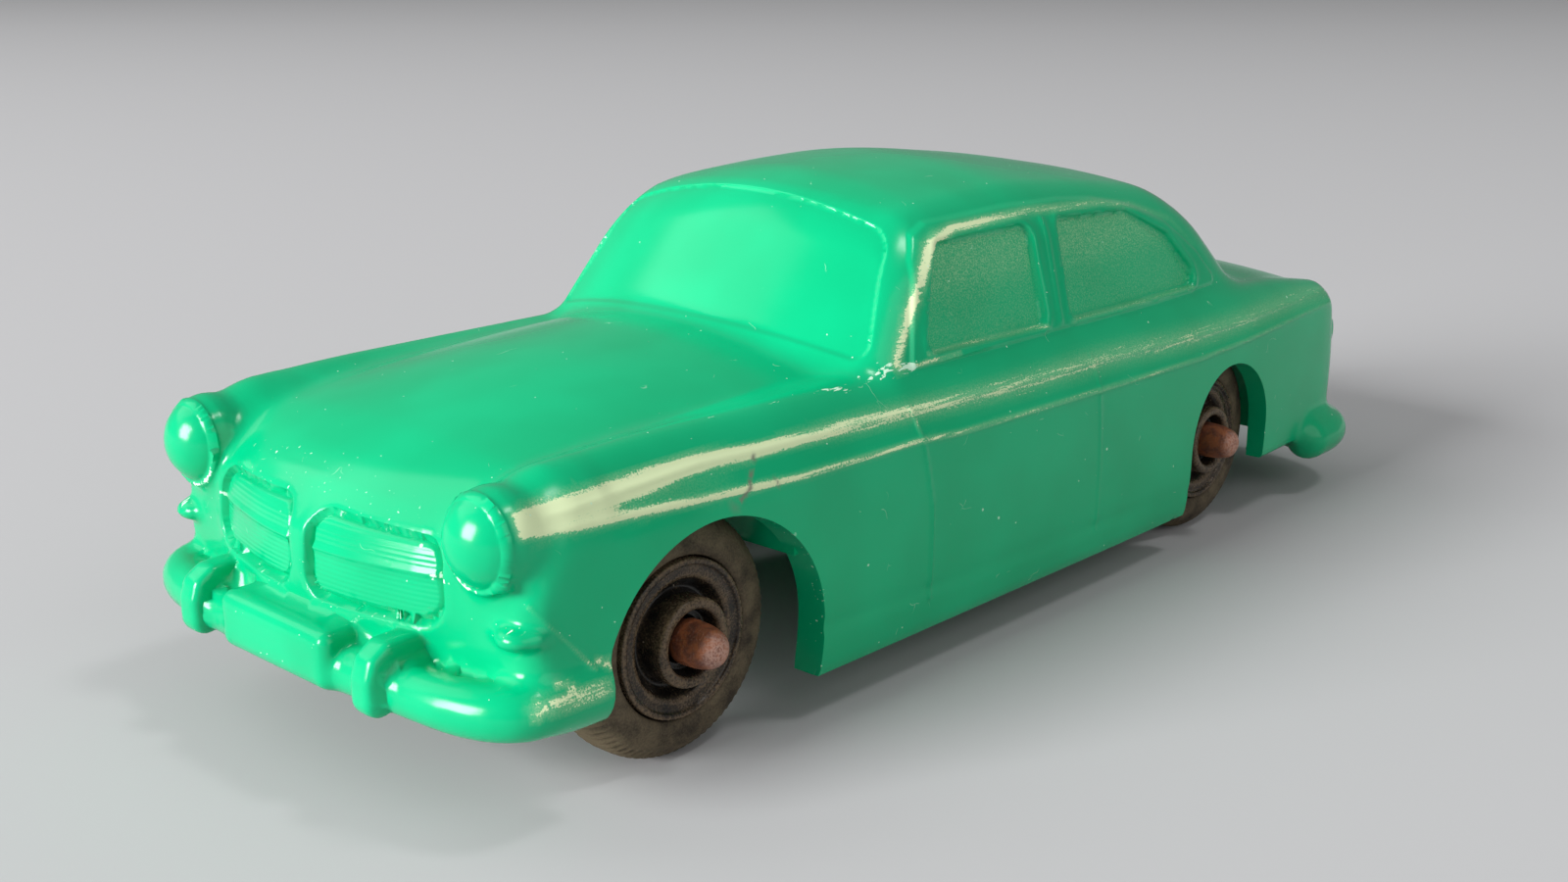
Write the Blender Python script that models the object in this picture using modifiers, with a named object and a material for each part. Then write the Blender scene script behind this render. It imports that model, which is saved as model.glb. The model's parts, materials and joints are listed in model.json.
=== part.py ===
"""A hollow moulded toy car: a two-door saloon of around 1960 on two steel axles.

The body is one thick plastic moulding, open underneath, with its bumpers, lamps and
windows moulded in. Each axle is a plain rod held in two lugs inside the body, and each
wheel is a plastic hub with a rubber tyre that runs freely on the rod's end.

Frame: +X to the nose, +Y to the car's left, +Z up, origin on the floor midway between
the bumpers. All sizes are in metres.
"""

import math

import bmesh
import bpy
import numpy as np
from mathutils import Matrix, Vector

MM = 0.001

# Overall layout
WHEELBASE = 60.5 * MM
FRONT_OVERHANG = 18.6 * MM
REAR_OVERHANG = 26.2 * MM
WALL = 2.3 * MM
FIT_GAP = 0.3 * MM

# Wheels and axles
TYRE_RADIUS = 8.0 * MM
TYRE_WIDTH = 4.5 * MM
TYRE_SHOULDER = 1.3 * MM
RIM_RADIUS = 5.1 * MM
DISH_RADIUS = 3.7 * MM
DISH_DEPTH = 1.0 * MM
COLLAR_RADIUS = 2.7 * MM
COLLAR_HEIGHT = 1.2 * MM
RECESS_RADIUS = 2.05 * MM
RECESS_DEPTH = 1.3 * MM
HUB_FACE_Y = 16.5 * MM
AXLE_RADIUS = 1.2 * MM
AXLE_HEAD_RADIUS = 1.6 * MM
AXLE_HEAD_LENGTH = 3.2 * MM
AXLE_DOME_HEIGHT = 1.9 * MM
BORE_CLEARANCE = 0.3 * MM
SIDE_PLAY = 0.4 * MM
WHEEL_ROOM = 0.7 * MM

# Lugs and webs inside the body
LUG_Y = 9.6 * MM
LUG_THICKNESS = 1.9 * MM
LUG_HALF_LENGTH = 3.4 * MM
WEB_THICKNESS = 1.6 * MM
WEB_FROM_AXLE = 8.2 * MM
WEB_BOTTOM_Z = 11.6 * MM

# Lower body
WAIST_WIDTH = 38.8 * MM
SILL_Z = 3.0 * MM
CREASE_Z = 6.2 * MM
WAIST_Z = 11.0 * MM
SHOULDER_Z = 18.3 * MM
CREST_Z = 21.1 * MM
CREST_Y = 15.5 * MM
CREST_RADIUS = 3.4 * MM
COWL_Z = 23.4 * MM
NOSE_FROM_BUMPER = 2.6 * MM
NOSE_SWEEP = 3.3 * MM
HOOD_LIP_Z = 17.6 * MM
TAIL_FROM_BUMPER = 2.4 * MM
TAIL_BULGE = 2.1 * MM
BOOT_LIP_Z = 18.4 * MM
FRONT_SKIRT_Z = 6.4 * MM
REAR_SKIRT_Z = 5.2 * MM
SHOULDER_FILLET = 1.5 * MM
CORNER_FILLET = 2.3 * MM

# Wheel arches, each a round top over straight sides
FRONT_ARCH_RADIUS = 9.15 * MM
FRONT_ARCH_SETBACK = 0.75 * MM
FRONT_ARCH_TOP_Z = 16.0 * MM
REAR_ARCH_RADIUS = 6.3 * MM
REAR_ARCH_SETBACK = 0.4 * MM
REAR_ARCH_TOP_Z = 14.7 * MM

# Cabin
SCREEN_BASE_FROM_AXLE = 15.0 * MM
SCREEN_SLOPE = 0.816
SCREEN_BULGE = 5.2 * MM
REAR_WINDOW_BASE_FROM_AXLE = 6.6 * MM
REAR_WINDOW_SLOPE = 1.1
REAR_WINDOW_BULGE = 2.2 * MM
ROOF_Z = 33.0 * MM
BELT_Z = 21.2 * MM
BELT_HALF_WIDTH = 16.6 * MM
TUMBLEHOME = 0.25
ROOF_FILLET = 2.8 * MM
PILLAR_FILLET = 1.6 * MM

# Windows and grille, sunk into the skin
WINDOW_DEPTH = 0.35 * MM
WINDOW_BOTTOM_Z = 21.9 * MM
WINDOW_TOP_Z = 28.6 * MM
GRILLE_DEPTH = 0.6 * MM
GRILLE_INNER_Y = 0.8 * MM
GRILLE_OUTER_Y = 11.9 * MM
GRILLE_LOW_Z = 11.3 * MM
GRILLE_HIGH_Z = 16.8 * MM

# Lamps and bumpers
LAMP_RADIUS = 3.2 * MM
LAMP_Y = 15.0 * MM
LAMP_Z = 17.3 * MM
LAMP_LENGTH = 4.2 * MM
LAMP_FROM_BUMPER = 2.85 * MM
SIDE_LAMP_RADIUS = 1.05 * MM
SIDE_LAMP_LENGTH = 3.6 * MM
SIDE_LAMP_Y = 16.8 * MM
SIDE_LAMP_Z = 12.3 * MM
BUMPER_RADIUS = 1.9 * MM
BUMPER_SHELF_THICKNESS = 2.3 * MM
BUMPER_HALF_WIDTH = 18.1 * MM
BUMPER_WRAP = 8.0 * MM
FRONT_BUMPER_Z = 7.9 * MM
FRONT_BUMPER_RISE = 0.7 * MM
FRONT_BUMPER_POWERS = (1.0, 0.32)
REAR_BUMPER_Z = 4.9 * MM
REAR_BUMPER_POWERS = (0.55, 0.55)
OVERRIDER_Y = 9.4 * MM
OVERRIDER_RADIUS = 1.15 * MM
OVERRIDER_TOP_Z = 11.3 * MM
OVERRIDER_FOOT_Z = 6.5 * MM
PLATE_WIDTH = 11.2 * MM
PLATE_HEIGHT = 3.6 * MM
PLATE_Z = 8.9 * MM

# How finely the moulded surfaces are divided along X, Y and Z
BODY_CUTS = (38, 14, 8)
CABIN_CUTS = (22, 12, 7)
HOLLOW_CUTS = (26, 8, 4)
CABIN_HOLLOW_CUTS = (14, 8, 5)

# Worked out from the sizes above
LENGTH = WHEELBASE + FRONT_OVERHANG + REAR_OVERHANG
FRONT_END = LENGTH / 2
REAR_END = -LENGTH / 2
FRONT_AXLE_X = FRONT_END - FRONT_OVERHANG
REAR_AXLE_X = REAR_END + REAR_OVERHANG
AXLE_Z = TYRE_RADIUS
NOSE_X = FRONT_END - NOSE_FROM_BUMPER
TAIL_X = REAR_END + TAIL_FROM_BUMPER
HALF_WIDTH = WAIST_WIDTH / 2
SCREEN_X = FRONT_AXLE_X - SCREEN_BASE_FROM_AXLE
REAR_WINDOW_X = REAR_AXLE_X - REAR_WINDOW_BASE_FROM_AXLE
LUG_OUTER_Y = LUG_Y + LUG_THICKNESS
HUB_INNER_Y = LUG_OUTER_Y + SIDE_PLAY
RECESS_FLOOR_Y = HUB_FACE_Y + COLLAR_HEIGHT - RECESS_DEPTH
AXLE_HEAD_Y = RECESS_FLOOR_Y + FIT_GAP

PARTS = bpy.data.collections.new("model_car")
CUTTERS = bpy.data.collections.new("cutters")


def curve_through(points):
    """A smooth line through a few (place, value) points, level beyond its ends."""
    places, values = np.array(sorted(points)).T
    step = np.diff(places)
    rise = np.diff(values) / step
    slope = np.concatenate([rise[:1], np.zeros(len(rise) - 1), rise[-1:]])
    for i in range(1, len(rise)):
        if rise[i - 1] * rise[i] > 0:
            slope[i] = 2 * rise[i - 1] * rise[i] / (rise[i - 1] + rise[i])

    def value(place):
        place = np.clip(place, places[0], places[-1])
        i = np.clip(np.searchsorted(places, place) - 1, 0, len(step) - 1)
        t = (place - places[i]) / step[i]
        bend = t * t * (3 - 2 * t)
        start = t * (1 - t) ** 2 * slope[i]
        end = -t * t * (1 - t) * slope[i + 1]
        return values[i] + bend * (values[i + 1] - values[i]) + step[i] * (start + end)

    return value


def meet(a, b, radius):
    """Depth inside both of two forms, with their shared edge rounded."""
    inside = np.minimum(np.maximum(a, b), -radius)
    return inside + np.hypot(np.maximum(a + radius, 0), np.maximum(b + radius, 0))


def soft_max(a, b, width):
    """The larger of two heights, blended where they are nearly level."""
    near = np.maximum(width - np.abs(a - b), 0) / width
    return np.maximum(a, b) + near * near * width / 4


def lower_body_lines():
    """The named curves that the fenders, hood, boot and sides are drawn to."""
    half = curve_through(
        [
            (TAIL_X, HALF_WIDTH - 2.4 * MM),
            (TAIL_X + 6 * MM, HALF_WIDTH - 1.2 * MM),
            (REAR_AXLE_X, HALF_WIDTH - 0.3 * MM),
            (0, HALF_WIDTH),
            (FRONT_AXLE_X, HALF_WIDTH - 0.2 * MM),
            (NOSE_X - 6 * MM, HALF_WIDTH - 0.7 * MM),
            (NOSE_X, HALF_WIDTH - 1.6 * MM),
        ]
    )
    section = curve_through(
        [
            (SILL_Z, -0.5 * MM),
            (CREASE_Z, -0.1 * MM),
            (WAIST_Z, 0),
            (SHOULDER_Z - 2.3 * MM, -0.2 * MM),
            (SHOULDER_Z, -0.9 * MM),
            (CREST_Z - 1 * MM, -1.9 * MM),
            (CREST_Z + 1 * MM, -3.5 * MM),
        ]
    )
    crest = curve_through(
        [
            (TAIL_X, CREST_Z - 2.7 * MM),
            (TAIL_X + 4 * MM, CREST_Z - 2.1 * MM),
            (TAIL_X + 12 * MM, CREST_Z - 1.4 * MM),
            (REAR_AXLE_X, CREST_Z - 0.5 * MM),
            (0, CREST_Z),
            (FRONT_AXLE_X, CREST_Z),
            (NOSE_X - 6 * MM, CREST_Z - 0.3 * MM),
            (NOSE_X, CREST_Z - 0.8 * MM),
        ]
    )
    spine = curve_through(
        [
            (TAIL_X, BOOT_LIP_Z - 0.4 * MM),
            (TAIL_X + 2 * MM, BOOT_LIP_Z + 0.5 * MM),
            (TAIL_X + 6 * MM, BOOT_LIP_Z + 1.6 * MM),
            (TAIL_X + 12 * MM, BOOT_LIP_Z + 2.8 * MM),
            (REAR_WINDOW_X, COWL_Z - 1.0 * MM),
            (0, COWL_Z),
            (SCREEN_X, COWL_Z),
            (FRONT_AXLE_X - 5 * MM, COWL_Z - 0.5 * MM),
            (FRONT_AXLE_X, COWL_Z - 1.1 * MM),
            (NOSE_X - 8 * MM, HOOD_LIP_Z + 3.0 * MM),
            (NOSE_X - 4 * MM, HOOD_LIP_Z + 1.5 * MM),
            (NOSE_X - 1 * MM, HOOD_LIP_Z),
            (NOSE_X, HOOD_LIP_Z - 0.7 * MM),
        ]
    )
    valley = curve_through(
        [
            (TAIL_X, BOOT_LIP_Z - 1.0 * MM),
            (TAIL_X + 6 * MM, BOOT_LIP_Z + 0.5 * MM),
            (TAIL_X + 12 * MM, BOOT_LIP_Z + 1.5 * MM),
            (REAR_AXLE_X, CREST_Z - 0.3 * MM),
            (SCREEN_X, CREST_Z),
            (FRONT_AXLE_X, CREST_Z - 0.5 * MM),
            (NOSE_X - 8 * MM, CREST_Z - 1.3 * MM),
            (NOSE_X - 4 * MM, HOOD_LIP_Z + 0.6 * MM),
            (NOSE_X, HOOD_LIP_Z - 1.6 * MM),
        ]
    )
    return half, section, crest, spine, valley


HALF_LINE, SECTION_LINE, CREST_LINE, SPINE_LINE, VALLEY_LINE = lower_body_lines()
SKIRT_LINE = curve_through(
    [
        (REAR_AXLE_X - REAR_ARCH_RADIUS, REAR_SKIRT_Z),
        (REAR_AXLE_X + REAR_ARCH_RADIUS - 1 * MM, SILL_Z),
        (FRONT_AXLE_X - FRONT_ARCH_RADIUS, SILL_Z),
        (FRONT_AXLE_X + FRONT_ARCH_RADIUS - 2 * MM, FRONT_SKIRT_Z),
    ]
)
NOSE_LEAN = curve_through(
    [
        (SILL_Z, -2.5 * MM),
        (FRONT_BUMPER_Z, -0.4 * MM),
        (GRILLE_LOW_Z, 0),
        (GRILLE_HIGH_Z - 2 * MM, -0.15 * MM),
        (GRILLE_HIGH_Z - 0.5 * MM, -0.6 * MM),
        (HOOD_LIP_Z, -1.1 * MM),
        (HOOD_LIP_Z + 2 * MM, -2.2 * MM),
    ]
)
NOSE_PLAN = curve_through(
    [
        (0, 0),
        (4 * MM, 0.25 * MM),
        (GRILLE_OUTER_Y - 2.5 * MM, 1.25 * MM),
        (GRILLE_OUTER_Y, 2.0 * MM),
        (LAMP_Y + 2 * MM, 2.8 * MM),
        (HALF_WIDTH, NOSE_SWEEP),
    ]
)
TAIL_LEAN = curve_through(
    [
        (SILL_Z, 1.0 * MM),
        (REAR_BUMPER_Z + 2 * MM, 0.2 * MM),
        (WAIST_Z, 0),
        (BOOT_LIP_Z - 2 * MM, 0.1 * MM),
        (BOOT_LIP_Z + 1 * MM, 0.7 * MM),
    ]
)
ROOF_LINE = curve_through(
    [
        (REAR_WINDOW_X - 2 * MM, ROOF_Z - 6.0 * MM),
        (REAR_WINDOW_X + 6 * MM, ROOF_Z - 3.2 * MM),
        (REAR_WINDOW_X + 14 * MM, ROOF_Z - 1.7 * MM),
        (REAR_WINDOW_X + 22 * MM, ROOF_Z - 0.7 * MM),
        (REAR_WINDOW_X + 31 * MM, ROOF_Z),
        (SCREEN_X - 13 * MM, ROOF_Z - 0.3 * MM),
        (SCREEN_X - 8 * MM, ROOF_Z - 1.2 * MM),
        (SCREEN_X - 4 * MM, ROOF_Z - 2.4 * MM),
    ]
)
ROOF_CROWN = curve_through(
    [(REAR_WINDOW_X + 10 * MM, 1.3 * MM), (REAR_WINDOW_X + 32 * MM, 2.5 * MM)]
)
CABIN_TAPER = curve_through(
    [
        (REAR_WINDOW_X - 2 * MM, -1.7 * MM),
        (REAR_WINDOW_X + 8 * MM, -0.5 * MM),
        (REAR_WINDOW_X + 20 * MM, 0),
        (SCREEN_X, 0.1 * MM),
    ]
)


def lower_shape(x, y, z):
    """How far a point is outside the lower body's skin, less than zero inside."""
    s = np.abs(y)
    side = s - HALF_LINE(x) - SECTION_LINE(z)
    dome = SPINE_LINE(x) + (VALLEY_LINE(x) - SPINE_LINE(x)) * (s / (CREST_Y - 2.5 * MM)) ** 2
    ridge = CREST_LINE(x) - (s - CREST_Y) ** 2 / (2 * CREST_RADIUS)
    top = z - soft_max(dome, ridge, 1.2 * MM)
    nose = x - NOSE_X - NOSE_LEAN(z) + NOSE_PLAN(s)
    tail = TAIL_X + TAIL_LEAN(z) + TAIL_BULGE * (s / HALF_WIDTH) ** 2 - x
    form = meet(side, top, SHOULDER_FILLET)
    return meet(form, np.maximum(nose, tail), CORNER_FILLET)


def cabin_shape(x, y, z):
    """How far a point is outside the cabin's skin, less than zero inside."""
    s = np.abs(y)
    across = (s / BELT_HALF_WIDTH) ** 2
    side = s - BELT_HALF_WIDTH - CABIN_TAPER(x) + TUMBLEHOME * (z - BELT_Z)
    roof = z - ROOF_LINE(x) + ROOF_CROWN(x) * (s / (BELT_HALF_WIDTH - 2.4 * MM)) ** 2
    screen = x - SCREEN_X + SCREEN_SLOPE * (z - COWL_Z) + SCREEN_BULGE * across
    rear = REAR_WINDOW_X + REAR_WINDOW_SLOPE * (z - COWL_Z) + REAR_WINDOW_BULGE * across - x
    form = meet(side, roof, ROOF_FILLET)
    form = meet(form, screen / math.hypot(1, SCREEN_SLOPE), PILLAR_FILLET)
    return meet(form, rear / math.hypot(1, REAR_WINDOW_SLOPE), ROOF_FILLET)


def above(form, floor):
    """The part of a form above a floor, which is a height or a line of heights along X."""
    level = floor if callable(floor) else lambda x: floor
    return lambda x, y, z: np.maximum(form(x, y, z), level(x) - z)


def sunk(form, depth):
    """The same form with its skin moved inwards."""
    return lambda x, y, z: form(x, y, z) + depth


def add_object(name, bm, collection):
    """An object from a bmesh, linked to a collection."""
    mesh = bpy.data.meshes.new(name)
    bm.to_mesh(mesh)
    bm.free()
    found = bpy.data.objects.new(name, mesh)
    collection.objects.link(found)
    if collection is CUTTERS:
        found.hide_render = True
        found.display_type = "WIRE"
    return found


def gridded_box(low, high, cuts):
    """A box whose edges along X, Y and Z are cut into so many steps."""
    bm = bmesh.new()
    bmesh.ops.create_cube(bm, size=1)
    for axis, count in enumerate(cuts):
        along = [
            e for e in bm.edges if abs((e.verts[0].co - e.verts[1].co)[axis]) > 0.5
        ]
        bmesh.ops.subdivide_edges(bm, edges=along, cuts=count, use_grid_fill=True)
    size = Vector(high) - Vector(low)
    bmesh.ops.scale(bm, vec=size, verts=bm.verts)
    bmesh.ops.translate(bm, vec=(Vector(high) + Vector(low)) / 2, verts=bm.verts)
    return bm


def draw_onto(bm, form, spine_low, spine_high, spine_z):
    """Moves each point along its line from the spine until it lies on the form's skin."""
    points = np.array([v.co for v in bm.verts])
    start = points.copy()
    start[:, 0] = np.clip(start[:, 0], spine_low, spine_high)
    start[:, 1] = 0
    start[:, 2] = spine_z
    way = points - start
    way /= np.linalg.norm(way, axis=1)[:, None]
    near = np.zeros(len(points))
    far = np.full(len(points), LENGTH)
    for _ in range(40):
        middle = (near + far) / 2
        at = start + way * middle[:, None]
        outside = form(*at.T) > 0
        far = np.where(outside, middle, far)
        near = np.where(outside, near, middle)
    for vertex, place in zip(bm.verts, start + way * near[:, None]):
        vertex.co = place


def moulded_lower(name, form, cuts, collection):
    """A solid drawn onto a form of the lower body."""
    bm = gridded_box((REAR_END, -HALF_WIDTH, 0), (FRONT_END, HALF_WIDTH, CREST_Z), cuts)
    reach = 9 * MM
    draw_onto(bm, form, TAIL_X + reach, NOSE_X - reach, WAIST_Z + 1 * MM)
    return add_object(name, bm, collection)


def moulded_cabin(name, form, cuts, collection):
    """A solid drawn onto a form of the cabin."""
    low = (REAR_WINDOW_X - 3 * MM, -BELT_HALF_WIDTH, SHOULDER_Z - 2 * MM)
    bm = gridded_box(low, (SCREEN_X + 3 * MM, BELT_HALF_WIDTH, ROOF_Z), cuts)
    reach = 13 * MM
    draw_onto(bm, form, REAR_WINDOW_X + reach, SCREEN_X - reach, BELT_Z + 2 * MM)
    return add_object(name, bm, collection)


def apply_modifiers(target):
    """Replaces an object's mesh with what its modifiers make."""
    graph = bpy.context.evaluated_depsgraph_get()
    mesh = bpy.data.meshes.new_from_object(target.evaluated_get(graph))
    target.modifiers.clear()
    target.data = mesh


def combine(target, tool, operation, solver="EXACT"):
    """Cuts or joins an object with another, which is then removed."""
    boolean = target.modifiers.new("boolean", "BOOLEAN")
    boolean.object = tool
    boolean.operation = operation
    boolean.solver = solver
    apply_modifiers(target)
    bpy.data.objects.remove(tool)


def drop_slivers(target):
    """Removes the loose slivers that a cut can leave beside the main solid."""
    bm = bmesh.new()
    bm.from_mesh(target.data)
    left = set(bm.verts)
    solids = []
    while left:
        found = [left.pop()]
        for vertex in found:
            near = [edge.other_vert(vertex) for edge in vertex.link_edges]
            fresh = [other for other in near if other in left]
            left.difference_update(fresh)
            found.extend(fresh)
        solids.append(found)
    solids.sort(key=len)
    for sliver in solids[:-1]:
        bmesh.ops.delete(bm, geom=sliver, context="VERTS")
    bm.to_mesh(target.data)
    bm.free()


def weld(target):
    """Joins points that lie in one place and turns all faces outwards."""
    bm = bmesh.new()
    bm.from_mesh(target.data)
    bmesh.ops.remove_doubles(bm, verts=bm.verts, dist=0.000001)
    bmesh.ops.recalc_face_normals(bm, faces=bm.faces)
    bm.to_mesh(target.data)
    bm.free()


def turned(name, profile, steps, closed, collection=PARTS):
    """A piece turned about +Y from a profile of (radius, place along Y) points."""
    bm = bmesh.new()
    points = [bm.verts.new((radius, 0, along)) for radius, along in profile]
    ends = points[1:] + points[:1] if closed else points[1:]
    for first, second in zip(points, ends):
        bm.edges.new((first, second))
    found = add_object(name, bm, collection)
    screw = found.modifiers.new("turn", "SCREW")
    screw.steps = steps
    screw.render_steps = steps
    screw.use_merge_vertices = True
    screw.merge_threshold = 0.000001
    apply_modifiers(found)
    found.data.transform(Matrix.Rotation(math.radians(-90), 4, "X"))
    weld(found)
    return found


def from_curve(name, curve, matrix):
    """A closed mesh object in place of a curve."""
    drawn = bpy.data.objects.new(name, curve)
    CUTTERS.objects.link(drawn)
    bpy.context.view_layer.update()
    graph = bpy.context.evaluated_depsgraph_get()
    mesh = bpy.data.meshes.new_from_object(drawn.evaluated_get(graph))
    bpy.data.objects.remove(drawn)
    mesh.transform(matrix)
    found = bpy.data.objects.new(name, mesh)
    CUTTERS.objects.link(found)
    weld(found)
    return found


def plate(name, outline, low, high, facing="Y"):
    """A flat outline made solid between two places along the axis that it faces."""
    curve = bpy.data.curves.new(name, "CURVE")
    curve.dimensions = "2D"
    curve.fill_mode = "BOTH"
    curve.extrude = (high - low) / 2
    spline = curve.splines.new("POLY")
    spline.points.add(len(outline) - 1)
    for point, (across, up) in zip(spline.points, outline):
        point.co = (across, up, 0, 1)
    spline.use_cyclic_u = True
    middle = (low + high) / 2
    if facing == "Z":
        return from_curve(name, curve, Matrix.Translation((0, 0, middle)))
    upright = Matrix.Rotation(math.radians(90), 4, "X")
    if facing == "X":
        upright = Matrix.Rotation(math.radians(90), 4, "Z") @ upright
        return from_curve(name, curve, Matrix.Translation((middle, 0, 0)) @ upright)
    return from_curve(name, curve, Matrix.Translation((0, middle, 0)) @ upright)


def tube(name, path, radius, resolution=3):
    """A round bar along a path, closed at both ends."""
    curve = bpy.data.curves.new(name, "CURVE")
    curve.dimensions = "3D"
    curve.bevel_depth = radius
    curve.bevel_resolution = resolution
    curve.use_fill_caps = True
    spline = curve.splines.new("POLY")
    spline.points.add(len(path) - 1)
    for point, place in zip(spline.points, path):
        point.co = (*place, 1)
    return from_curve(name, curve, Matrix())


def ellipsoid(name, centre, radii, segments=20, rings=12):
    """A ball stretched along the axes, its poles fore and aft."""
    bm = bmesh.new()
    bmesh.ops.create_uvsphere(bm, u_segments=segments, v_segments=rings, radius=1)
    bmesh.ops.rotate(bm, cent=(0, 0, 0), matrix=Matrix.Rotation(math.radians(90), 3, "Y"), verts=bm.verts)
    bmesh.ops.scale(bm, vec=radii, verts=bm.verts)
    bmesh.ops.translate(bm, vec=centre, verts=bm.verts)
    return add_object(name, bm, CUTTERS)


def ball_end(centre, bar_radius):
    """A ball that rounds the end of a bar, a hair smaller so that their skins don't touch."""
    return ellipsoid("ball_end", centre, [bar_radius - FIT_GAP / 20] * 3, 12, 8)


def block(name, low, high, bevel=0):
    """A box between two corners, with its edges rounded."""
    bm = gridded_box(low, high, (0, 0, 0))
    if bevel:
        bmesh.ops.bevel(bm, geom=bm.edges, offset=bevel, segments=3, profile=0.5, affect="EDGES")
    return add_object(name, bm, CUTTERS)


def cylinder(name, x, z, radius, low, high, sides=24):
    """A cylinder along Y, at least as wide as its radius on its flats."""
    bm = bmesh.new()
    reach = radius / math.cos(math.pi / sides)
    bmesh.ops.create_cone(
        bm, cap_ends=True, segments=sides, radius1=reach, radius2=reach, depth=high - low
    )
    bmesh.ops.rotate(bm, cent=(0, 0, 0), matrix=Matrix.Rotation(math.radians(90), 3, "X"), verts=bm.verts)
    bmesh.ops.translate(bm, vec=(x, (low + high) / 2, z), verts=bm.verts)
    return add_object(name, bm, CUTTERS)


def arc(centre_x, centre_z, radius, start, end, steps):
    """Points on an arc, in degrees from +X towards +Z."""
    angles = np.radians(np.linspace(start, end, steps + 1))
    return [(centre_x + radius * math.cos(a), centre_z + radius * math.sin(a)) for a in angles]


def rounded(corners, radius, steps=4):
    """An outline with each of its corners rounded."""
    outline = []
    count = len(corners)
    for i, corner in enumerate(corners):
        here = Vector(corner)
        before = (Vector(corners[i - 1]) - here).normalized()
        after = (Vector(corners[(i + 1) % count]) - here).normalized()
        first = here + before * radius
        last = here + after * radius
        for k in range(steps + 1):
            t = k / steps
            outline.append(tuple((1 - t) ** 2 * first + 2 * t * (1 - t) * here + t * t * last))
    return outline


def bumper_path(end_x, z, rise, powers, toward):
    """A bumper's centre line, bowed across the car and wrapped round both corners.

    The first power squares its corners across the car and the second one along it.
    """
    path = []
    steps = 28
    for k in range(steps + 1):
        angle = math.pi * k / steps
        across = math.copysign(abs(math.cos(angle)) ** powers[0], math.cos(angle))
        along = BUMPER_WRAP * (math.sin(angle) ** powers[1] - 1) - BUMPER_RADIUS
        up = z + rise * (1 - across * across)
        path.append((end_x + toward * along, BUMPER_HALF_WIDTH * across, up))
    return path


def add_bumper(body, name, path):
    """Joins a bumper with ball ends to the body."""
    bar = tube(name, path, BUMPER_RADIUS)
    for end in (path[0], path[-1]):
        combine(bar, ball_end(end, BUMPER_RADIUS), "UNION")
    outline = [place[:2] for place in path]
    heights = [place[2] for place in path]
    middle = (min(heights) + max(heights)) / 2
    half = BUMPER_SHELF_THICKNESS / 2
    combine(body, plate("shelf", outline, middle - half, middle + half, "Z"), "UNION")
    combine(body, bar, "UNION")


def add_front_trim(body):
    """Joins the number plate block, overriders, headlamps and side lamps to the body."""
    low = (NOSE_X - 2 * MM, -PLATE_WIDTH / 2, PLATE_Z - PLATE_HEIGHT / 2)
    high = (FRONT_END - 0.2 * MM, PLATE_WIDTH / 2, PLATE_Z + PLATE_HEIGHT / 2)
    combine(body, block("plate_block", low, high, 0.7 * MM), "UNION")
    lamp_x = FRONT_END - LAMP_FROM_BUMPER - LAMP_LENGTH
    for side in (-1, 1):
        front = FRONT_END - OVERRIDER_RADIUS
        top = OVERRIDER_TOP_Z - OVERRIDER_RADIUS
        path = [
            (front - 3.4 * MM, side * OVERRIDER_Y, top),
            (front - 0.9 * MM, side * OVERRIDER_Y, top - 0.1 * MM),
            (front - 0.2 * MM, side * OVERRIDER_Y, top - 0.5 * MM),
            (front, side * OVERRIDER_Y, top - 1.3 * MM),
            (front, side * OVERRIDER_Y, OVERRIDER_FOOT_Z + OVERRIDER_RADIUS),
        ]
        horn = tube("overrider", path, OVERRIDER_RADIUS)
        combine(horn, ball_end(path[-1], OVERRIDER_RADIUS), "UNION")
        combine(body, horn, "UNION")
        lamp = (LAMP_LENGTH, LAMP_RADIUS, LAMP_RADIUS)
        combine(body, ellipsoid("headlamp", (lamp_x, side * LAMP_Y, LAMP_Z), lamp), "UNION")
        place = (NOSE_X - NOSE_SWEEP, side * SIDE_LAMP_Y, SIDE_LAMP_Z)
        size = (SIDE_LAMP_LENGTH / 2, SIDE_LAMP_LENGTH / 2, SIDE_LAMP_RADIUS)
        combine(body, ellipsoid("side_lamp", place, size, 16, 8), "UNION")


def arch_outline(centre_x, radius, top_z):
    """A wheel arch seen from the side."""
    below = -2 * MM
    round_top = arc(centre_x, top_z - radius, radius, 0, 180, 20)
    return [(centre_x + radius, below), *round_top, (centre_x - radius, below)]


def wheel_places():
    """Each axle's name, place along X, arch setback, arch radius and arch top."""
    return (
        ("front", FRONT_AXLE_X, FRONT_ARCH_SETBACK, FRONT_ARCH_RADIUS, FRONT_ARCH_TOP_Z),
        ("rear", REAR_AXLE_X, REAR_ARCH_SETBACK, REAR_ARCH_RADIUS, REAR_ARCH_TOP_Z),
    )


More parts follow.
